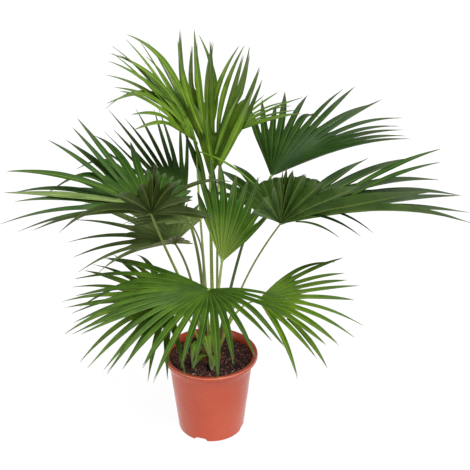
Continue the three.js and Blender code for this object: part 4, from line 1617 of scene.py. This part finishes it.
LOOSE_LEAFLETS = (
    LooseLeaflet((-110, -62, 562), (48, -60, 627), (0, 0, 28), 10, Tone.OLIVE, BELOW),
    LooseLeaflet((-17, 10, 663), (107, -75, 615), (0, 0, 12), 5, Tone.LIVELY),
    LooseLeaflet((21, 20, 628), (89, 40, 782), (4, 0, 0), 17, Tone.BRIGHT),
    LooseLeaflet((13, 30, 646), (64, 55, 770), (-3, 0, 3), 9, Tone.BRIGHT),
    LooseLeaflet((9, 45, 635), (50, 70, 756), (-3, 0, 0), 10, Tone.FRESH),
    LooseLeaflet((7, 25, 643), (-27, 45, 752), (3, 0, 3), 7, Tone.BRIGHT),
    LooseLeaflet((11, 15, 632), (-2, 30, 741), (-5, 0, 0), 9, Tone.LIVELY),
    LooseLeaflet((-13, 40, 588), (-51, 60, 689), (3, 0, -4), 13, Tone.DEEP),
    LooseLeaflet((-8, 35, 585), (-38, 45, 701), (3, 0, -2), 9, Tone.FRESH),
    LooseLeaflet((-60, 50, 745), (-210, 60, 735), (0, 0, 36), 6, Tone.OLIVE, BELOW),
    LooseLeaflet((185, -118, 584), (300, -140, 546), (0, 0, 14), 6, Tone.OLIVE),
    LooseLeaflet((218, -110, 592), (325, -130, 549), (0, 0, 12), 5, Tone.OLIVE),
    LooseLeaflet((172, -125, 572), (257, -150, 549), (0, 0, 10), 5, Tone.OLIVE),
    LooseLeaflet((-137, -20, 570), (-268, 60, 717), (-8, 0, 14), 12, Tone.OLIVE),
    LooseLeaflet((-145, -25, 565), (-278, 50, 701), (-6, 0, 12), 11, Tone.OLIVE),
    LooseLeaflet((-159, -30, 570), (-328, 40, 677), (-4, 0, 14), 11, Tone.OLIVE),
    LooseLeaflet((-177, -60, 602), (-394, -70, 655), (0, 0, 15), 15, Tone.FRESH),
    LooseLeaflet((-165, -60, 584), (-400, -85, 616), (0, 0, 5), 15, Tone.DUSTY),
    LooseLeaflet((273, -60, 604), (462, -30, 686), (0, 0, 10), 12, Tone.OLIVE),
    LooseLeaflet((282, -70, 602), (460, -50, 666), (0, 0, 10), 10, Tone.OLIVE),
    LooseLeaflet((161, -130, 356), (241, -190, 274), (4, 0, 6), 11, Tone.LIVELY),
    LooseLeaflet((-4, -14, 226), (7, -58, 187), (-10, -22, 58), 22, Tone.BRIGHT),
    LooseLeaflet((-10, -12, 222), (-38, -66, 195), (-8, -18, 34), 15, Tone.BRIGHT),
    LooseLeaflet((-10, 76, 673), (-60, 84, 875), (-10, 0, 0), 13, Tone.BRIGHT),
    LooseLeaflet((-7, 78, 670), (-27, 86, 896), (-3, 0, 0), 14, Tone.BRIGHT),
    LooseLeaflet((-2, 80, 670), (-19, 86, 885), (24, 0, 0), 12, Tone.BRIGHT),
    LooseLeaflet((10, 78, 673), (64, 84, 864), (-19, 0, 0), 12, Tone.BRIGHT),
    LooseLeaflet((19, 76, 667), (74, 84, 864), (-14, 0, 0), 12, Tone.BRIGHT),
    LooseLeaflet((31, 76, 702), (83, 80, 862), (8, 0, 0), 10, Tone.BRIGHT),
    LooseLeaflet((-39, 45, 742), (-162, 80, 886), (11, 0, 24), 12, Tone.BRIGHT),
    LooseLeaflet((-45, 45, 723), (-198, 85, 845), (8, 0, 22), 9, Tone.BRIGHT),
    LooseLeaflet((-51, 40, 718), (-201, 75, 833), (7, 0, 16), 9, Tone.LIVELY),
    LooseLeaflet((-57, 35, 720), (-205, 65, 807), (6, 0, 16), 9, Tone.BRIGHT),
    LooseLeaflet((-45, 30, 709), (-188, 50, 786), (8, 0, 17), 11, Tone.LIVELY),
)


# -------------------------------------------------------------------------------------------- pot
@dataclass
class Pot:
    """The round moulded nursery pot, with a rolled collar and arched notches in its foot ring.

    Attributes:
        height: The height of its rim.
        wall_foot, wall_top: The wall's outer radius at its foot and under the collar.
        collar_bottom: Where the collar starts.
        collar, mouth: The collar's outer radius and the radius of the opening.
        shoulder: Where the wall steps out.
        step: How far it steps out.
        edge: How far the painted highlight on the rim's curl reaches down from the rim.
        floor: The floor's height inside.
        thickness: The wall's thickness.
        sides: Points round the pot.
        notches: How many notches there are.
        notch_bearing: The bearing of the first, in degrees.
        notch_width, notch_height: The size of a notch.
        notch_inner: How far in a notch reaches, as a radius.
        TAPER_FROM: The height from which the wall tapers.
        FOOT_RING: The first and last row of the profile that a notch lifts.
    """

    height: float = 190.0
    wall_foot: float = 74.0
    wall_top: float = 93.5
    collar_bottom: float = 181.0
    collar: float = 104.5
    mouth: float = 95.0
    shoulder: float = 168.0
    step: float = 1.0
    edge: float = 3.0
    floor: float = 3.0
    thickness: float = 1.9
    sides: int = 240
    notches: int = 4
    notch_bearing: float = -107.6
    notch_width: float = 29.0
    notch_height: float = 8.0
    notch_inner: float = 64.0

    TAPER_FROM = 5.0
    FOOT_RING = (4, 11)

    def wall(self, height: Array | float) -> Array:
        """The wall's outer radius at a height, which tapers evenly."""
        share = (np.asarray(height, float) - self.TAPER_FROM) / (self.collar_bottom - self.TAPER_FROM)
        return self.wall_foot + share * (self.wall_top - self.wall_foot)

    def _arch(self, turn: Array) -> Array:
        """How high the notch's ceiling stands: a flat-topped arch over each notch, else nothing.

        Args:
            turn: Bearings in radians.

        Returns:
            Heights of the same shape.
        """
        bearing = np.degrees(turn) - self.notch_bearing
        off = (bearing + 180 / self.notches) % (360 / self.notches) - 180 / self.notches
        share = np.abs(np.radians(off)) * self.wall_foot / (self.notch_width / 2)
        return self.notch_height * np.clip(1 - share**4, 0, 1) ** 0.5

    def _profile(self) -> Array:
        """The pot's profile: out along the underside, up the outside, over the rim and down inside.

        Returns:
            The radius and the height of each point, one point per row.
        """
        wall, step, floor = self.wall, self.step, self.floor
        collar, under, shoulder = self.collar, self.collar_bottom, self.shoulder
        top, mouth = self.height, self.mouth
        foot = [
            (0, 0), (30, 0), (58, 0), (self.notch_inner - 0.4, 0), (self.notch_inner, 0.5), (66.5, 1.2),
            (69, 0.4), (71, 0), (72.6, 0.5), (73.6, 1.8), (self.wall_foot, 4), (wall(8.5), 8.5),
            (wall(12), 12),
        ]
        outside = [(wall(z), z) for z in np.linspace(20, shoulder - 1, 16)]
        collared = [
            (wall(shoulder) + 0.2, shoulder - 0.4), (wall(shoulder) + step, shoulder + 1.4),
            (wall(174) + step * 0.9, 174), (self.wall_top + step, under - 0.8),
            (self.wall_top + step + 0.8, under), (collar - 2.4, under + 0.1), (collar - 0.8, under + 0.7),
            (collar - 0.1, under + 2.2), (collar, top - 5), (collar - 0.25, top - 2.8),
        ]
        middle = (collar + mouth) / 2 + 1.2
        curl = [
            (middle + (collar - middle - 0.9) * math.cos(tilt), top - 2.6 + 2.6 * math.sin(tilt))
            for tilt in np.radians([35, 55, 75, 90])
        ]
        lip = [(mouth + 2.4, top - 0.3), (mouth + 0.9, top - 1.2), (mouth, top - 3)]
        inside = [(wall(z) - self.thickness, z) for z in (182, 176, 165, 120, 60, 14)]
        bottom = [(66, 9), (60, 5), (52, floor), (25, floor), (0, floor)]
        return np.array(foot + outside + collared + curl + lip + inside + bottom, float)

    def surface(self) -> Surface:
        """The whole pot, inside and out.

        Formula: the profile turned round the axis. Points of the foot ring rise to the notch's ceiling
        where an arch stands, and the ring's underside has a shallow groove.

        Returns:
            The closed pot. Faces on the curl of the rim wear the second finish, a paler plastic that paints a
            highlight there.
        """
        profile = self._profile()
        radius, height = profile.T[:, :, None]
        turn = full_turn(self.sides)
        row = np.arange(len(profile))[:, None]
        ring = (row >= self.FOOT_RING[0]) & (row <= self.FOOT_RING[1])
        arched = np.maximum(height, self._arch(turn) + 0.02 * height)
        points = around(turn, radius, np.where(ring, arched, height))
        # The rim's curl wears a paler finish: a painted highlight.
        highlight_band = (height[:-1, 0] > self.height - self.edge) & (radius[:-1, 0] > self.collar - 1)
        tint = np.repeat(highlight_band.astype(int), self.sides)
        return Surface(points.reshape(-1, 3), grid_faces(len(profile), self.sides, wrap=True), tint=tint)


@dataclass
class Soil:
    """Peat that fills the pot, its crumbs, and a few pale chips.

    Attributes:
        top: The bed's height.
        flat_radius: How far out it is level.
        edge: Its radius at the wall.
        mouth: The radius that its waves are measured against.
        swell: How high the waves are.
        crumbs, chips: How many there are of each.
        seed: Seeds their places.
        columns, rings: Points round the bed, and rings of them.
        BELOW: Radius and height of the rings under the bed.
        AXES: The corners of a plain grain.
        CHIP_SHAPE: A chip's proportions.
    """

    top: float = 176.0
    flat_radius: float = 34.0
    edge: float = 90.4
    mouth: float = 95.0
    swell: float = 1.6
    crumbs: int = 2600
    chips: int = 16
    seed: int = 11
    columns: int = 180
    rings: int = 56

    BELOW = ((89.5, 168.0), (88, 156.0), (70, 20.0), (64, 11.0), (50, 3.6), (0, 3.6))
    AXES = np.array([[1, 0, 0], [0, 1, 0], [-1, 0, 0], [0, -1, 0], [0, 0, 1], [0, 0, -1]], float)
    CHIP_SHAPE = (1.6, 0.55, 0.3)

    def height(self, bearing: Array, radius: Array) -> Array:
        """The bed's height: level near the trunk, and swelling in slow waves towards the wall.

        Args:
            bearing: Bearings in radians.
            radius: Distances from the axis.

        Returns:
            Heights of the shape that the two spread to.
        """
        share = np.maximum(0, (radius - self.flat_radius) / (self.mouth - self.flat_radius))
        swell = np.sin(3 * bearing + 0.6) + 0.7 * np.sin(5 * bearing + 2 + radius / 18)
        return self.top + self.swell * share * (1 - 0.5 * share) * swell

    def bed(self) -> Surface:
        """The peat bed down to the pot's floor.

        Formula: rings from the middle outwards at the bed's height with two sizes of lumps, then down
        inside the wall and back to the middle.

        Returns:
            The closed bed.
        """
        turn = full_turn(self.columns)
        radius = np.linspace(0, 1, self.rings)[:, None] * self.edge
        flat = around(turn, radius, 0)
        lumps = 1.3 * ripple(flat, 17, 0.4) + 0.9 * ripple(flat, 6.5, 2.2)
        height = self.height(turn, radius) + lumps * ease(radius, 2, 12) - 1.2 * ease(radius, 84, self.edge)
        below = [around(turn, r, z) for r, z in self.BELOW]
        points = np.concatenate([around(turn, radius, height), *below])
        faces = grid_faces(len(points), self.columns, wrap=True, turn_over=True)
        return Surface(points.reshape(-1, 3), faces)

    def _lumps(self, centres: Array, sizes: Array, turns: Array, squash: Array) -> Surface:
        """Rough eight-faced grains.

        Formula: six corners along three axes, each pushed out by its own chance, squashed, turned about
        the upright and scaled.

        Args:
            centres: The middle of each grain.
            sizes: The size of each grain.
            turns: Its bearing in radians.
            squash: Its proportions along the three axes.

        Returns:
            The closed grains, joined.
        """
        number = np.arange(len(centres))[:, None]
        push = 0.7 + 0.6 * chance(number, np.arange(6)[None], 8)
        corners = self.AXES[None] * push[..., None] * squash[:, None]
        cos, sin = np.cos(turns)[:, None], np.sin(turns)[:, None]
        x = corners[..., 0] * cos - corners[..., 1] * sin
        y = corners[..., 0] * sin + corners[..., 1] * cos
        turned = np.stack([x, y, corners[..., 2] + 0.25 * x], -1)
        return spikes(centres[:, None] + turned * sizes[:, None, None])

    def grains(self) -> Surface:
        """Crumbs of peat and bark scattered evenly over the bed.

        Returns:
            The closed grains, joined.
        """
        dice = np.random.default_rng(self.seed)
        radius = (self.edge - 1.5) * np.sqrt(dice.random(self.crumbs))
        turn = 2 * math.pi * dice.random(self.crumbs)
        size = 0.8 + 3.0 * dice.random(self.crumbs) ** 2.5
        centres = around(turn, radius, self.height(turn, radius) + 0.35 * size)
        squash = 0.6 + 0.7 * dice.random((self.crumbs, 3))
        return self._lumps(centres, size, 2 * math.pi * dice.random(self.crumbs), squash)

    def pale(self) -> Surface:
        """A few pale wood chips and grit on the bed, the longest against the wall at the front left.

        Returns:
            The closed chips, joined.
        """
        dice = np.random.default_rng(self.seed + 1)
        others = self.chips - 2
        turn = np.concatenate([np.radians([-118, -34]), 2 * math.pi * dice.random(others)])
        radius = np.concatenate([[77.0, 42.0], 30 + 52 * dice.random(others)])
        size = np.concatenate([[4.6, 3.2], 1.2 + 1.2 * dice.random(others)])
        centres = around(turn, radius, self.height(turn, radius) + 1.4)
        return self._lumps(centres, size, turn + math.pi / 2, np.tile(self.CHIP_SHAPE, (self.chips, 1)))


# ------------------------------------------------------------------------------------------- room
@dataclass
class Studio:
    """A pale floor, soft lights and the camera.

    Attributes:
        camera_place: Where the camera stands.
        camera_down: How far it looks down, in degrees.
        focal_pixels: Its focal length in pixels of the image's width.
        image_pixels: That width.
        sensor: The sensor's width.
        floor_size: The floor's width in metres.
        sun_towards: The way to the sun.
        lamp_place: Where the side lamp stands, in metres.
        aim_height: The height of the crown's middle, in metres, which the lamp faces.
        sun_width, sun_strength: The sun's width in degrees, and how bright it is.
        lamp_size, lamp_power: The lamp's side in metres, and its power in watts.
        surround: How bright the white all round is.
    """

    camera_place: Triple = (54.0, -2000.0, 1490.0)
    camera_down: float = 26.8
    focal_pixels: float = 1072.0
    image_pixels: float = 470.0
    sensor: float = 36.0
    floor_size: float = 40.0
    sun_towards: Triple = (0.35, -0.5, 1.0)
    lamp_place: Triple = (-2.2, -1.9, 1.1)
    aim_height: float = 0.45
    sun_width: float = 32.0
    sun_strength: float = 4.2
    lamp_size: float = 1.4
    lamp_power: float = 16.0
    surround: float = 0.36

    def build(self, floor_finish: Material) -> None:
        """Makes the floor, lights, world and camera.

        Args:
            floor_finish: What the floor wears.
        """
        self._floor(floor_finish)
        self._sun()
        self._lamp()
        self._world()
        self._camera()

    def _floor(self, finish: Material) -> None:
        """Lays a wide level floor.

        Args:
            finish: What it wears.
        """
        half = self.floor_size / 2
        corners = [(-half, -half, 0), (half, -half, 0), (half, half, 0), (-half, half, 0)]
        mesh = bpy.data.meshes.new("floor")
        mesh.from_pydata(corners, [], [(0, 1, 2, 3)])
        mesh.materials.append(finish)
        floor = put("floor", mesh)

    def _face_away(self, lamp: bpy.types.Object, back: Array) -> None:
        """Turns a lamp so that its back faces along a vector."""
        tilt = math.atan2(math.hypot(back[0], back[1]), back[2])
        lamp.rotation_euler = (tilt, 0, math.atan2(back[1], back[0]) + math.pi / 2)

    def _sun(self) -> None:
        """Hangs a sun that stands wide in the sky, for soft shadows."""
        light = bpy.data.lights.new("key", "SUN")
        light.angle = math.radians(self.sun_width)
        light.energy = self.sun_strength
        self._face_away(put("key", light), np.array(self.sun_towards))

    def _lamp(self) -> None:
        """Hangs a square lamp at the side, turned towards the middle of the crown."""
        light = bpy.data.lights.new("side", "AREA")
        light.size = self.lamp_size
        light.energy = self.lamp_power
        lamp = put("side", light)
        lamp.location = self.lamp_place
        self._face_away(lamp, np.array(self.lamp_place) - self.aim_height * UP)

    def _world(self) -> None:
        """Sets an even white surround."""
        world = bpy.data.worlds.new("surround")
        world.use_nodes = True
        background = world.node_tree.nodes["Background"]
        background.inputs["Color"].default_value = (1, 1, 1, 1)
        background.inputs["Strength"].default_value = self.surround
        bpy.context.scene.world = world
        bpy.context.scene.view_settings.view_transform = "Standard"

    def _camera(self) -> None:
        """The camera, level across, looking along +Y and down."""
        lens = bpy.data.cameras.new("view")
        lens.sensor_width = self.sensor
        lens.lens = self.sensor * self.focal_pixels / self.image_pixels
        camera = put("view", lens)
        camera.location = tuple(v * MM for v in self.camera_place)
        camera.rotation_euler = (math.radians(90 - self.camera_down), 0, 0)
        bpy.context.scene.camera = camera


# ---------------------------------------------------------------------------------------- assembly
@dataclass
class FanPalm:
    """The plant and its pot.

    Attributes:
        palette: Its finishes.
        dresser: Makes its pieces.
        trunk, pot, soil: Its sub-assemblies.
        straps: Its young leaves.
    """

    palette: Palette
    dresser: Dresser = field(default_factory=Dresser)
    trunk: Trunk = field(default_factory=Trunk)
    pot: Pot = field(default_factory=Pot)
    soil: Soil = field(default_factory=Soil)
    straps: tuple[StrapLeaf, ...] = (
        StrapLeaf("strap_right", (-72, 190), (4, -66, 184), 14, 16),
        StrapLeaf("strap_left", (-112, 190), (-40, -58, 184), 12, 13),
    )

    def build(self) -> None:
        """Builds every piece in order, from the pot up."""
        self._pot()
        self._trunk()
        self._fans()
        self._loose()
        self._straps()

    def _pot(self) -> None:
        """The pot, the peat, its crumbs and its chips."""
        palette, piece = self.palette, self.dresser.piece
        piece("nursery_pot", self.pot.surface(), [palette.pot, palette.pot_highlight], "pot", ("pot",), crease=32)
        piece("peat", self.soil.bed(), [palette.peat], "soil", ("soil",), crease=60)
        piece("peat_grains", self.soil.grains(), [palette.crumb], "soil", crease=20)
        piece("wood_chips", self.soil.pale(), [palette.chip], "soil", crease=20)

    def _trunk(self) -> None:
        """The trunk and its loose fibres."""
        palette, piece = self.palette, self.dresser.piece
        piece("fibrous_base", self.trunk.skin(), [palette.fibre], "trunk", ("trunk",), crease=50)
        piece("loose_fibres", self.trunk.fibres(), [palette.strand], "trunk", crease=70)

    def _leaf(self, name: str, sheet: Surface, tone: Tone, slot: str, replaces: tuple[str, ...] = ()) -> None:
        """Makes a piece of a sheet of leaf, with its thickness and its tone's finishes.

        Args:
            name: The piece's name.
            sheet: Its surface.
            tone: How green it is.
            slot: A material slot's name, passed on to the piece.
            replaces: The solids that it stands for.
        """
        self.dresser.piece(
            name, sheet, self.palette.leaf[tone], slot, replaces, crease=24, thickness=Blade.THICKNESS
        )

    def _fans(self) -> None:
        """Each frond's stalk and leaf, then the ribs, thorns and crests of all of them."""
        palette, piece = self.palette, self.dresser.piece
        ribs, thorns, crests = [], [], []
        for number, fan in enumerate(FANS):
            shape = FanShape(fan, number)
            blade, stalk = Blade(shape), Stalk(shape, self.trunk)
            finish = [palette.stalk[fan.tone]]
            piece(f"petiole_{fan.name}", stalk.surface(), finish, "stalk", (f"stalk_{fan.name}",), crease=55)
            self._leaf(f"fan_{fan.name}", blade.sheet(), fan.tone, "blade", (f"frond_{fan.name}",))
            ribs.append(blade.ribs())
            thorns.append(stalk.thorns())
            crests.append(stalk.crest())
        piece("leaf_ribs", Surface.join(ribs), [palette.rib], "blade", crease=30)
        piece("stalk_thorns", Surface.join(thorns), [palette.stalk[Tone.OLIVE]], "stalk", crease=20)
        piece("stalk_crests", Surface.join(crests), [palette.stalk[Tone.FRESH]], "stalk", crease=60)

    def _loose(self) -> None:
        """The leaflets that have slipped out of their fans, one piece for each green."""
        for tone in Tone:
            parts = [leaflet.surface() for leaflet in LOOSE_LEAFLETS if leaflet.tone is tone]
            if parts:
                self._leaf(f"loose_{tone.value}", Surface.join(parts), tone, "blade")

    def _straps(self) -> None:
        """The young strap leaves."""
        for strap in self.straps:
            sheet = strap.surface(self.trunk)
            self._leaf(f"young_{strap.name}", sheet, Tone.BRIGHT, "strap", (f"leaf_{strap.name}",))


def main() -> None:
    """Builds the palm and its room."""
    logging.basicConfig(level=logging.INFO, format="%(message)s")
    palette = Palette()
    FanPalm(palette).build()
    Studio().build(palette.floor)


if __name__ == "__main__":
    main()
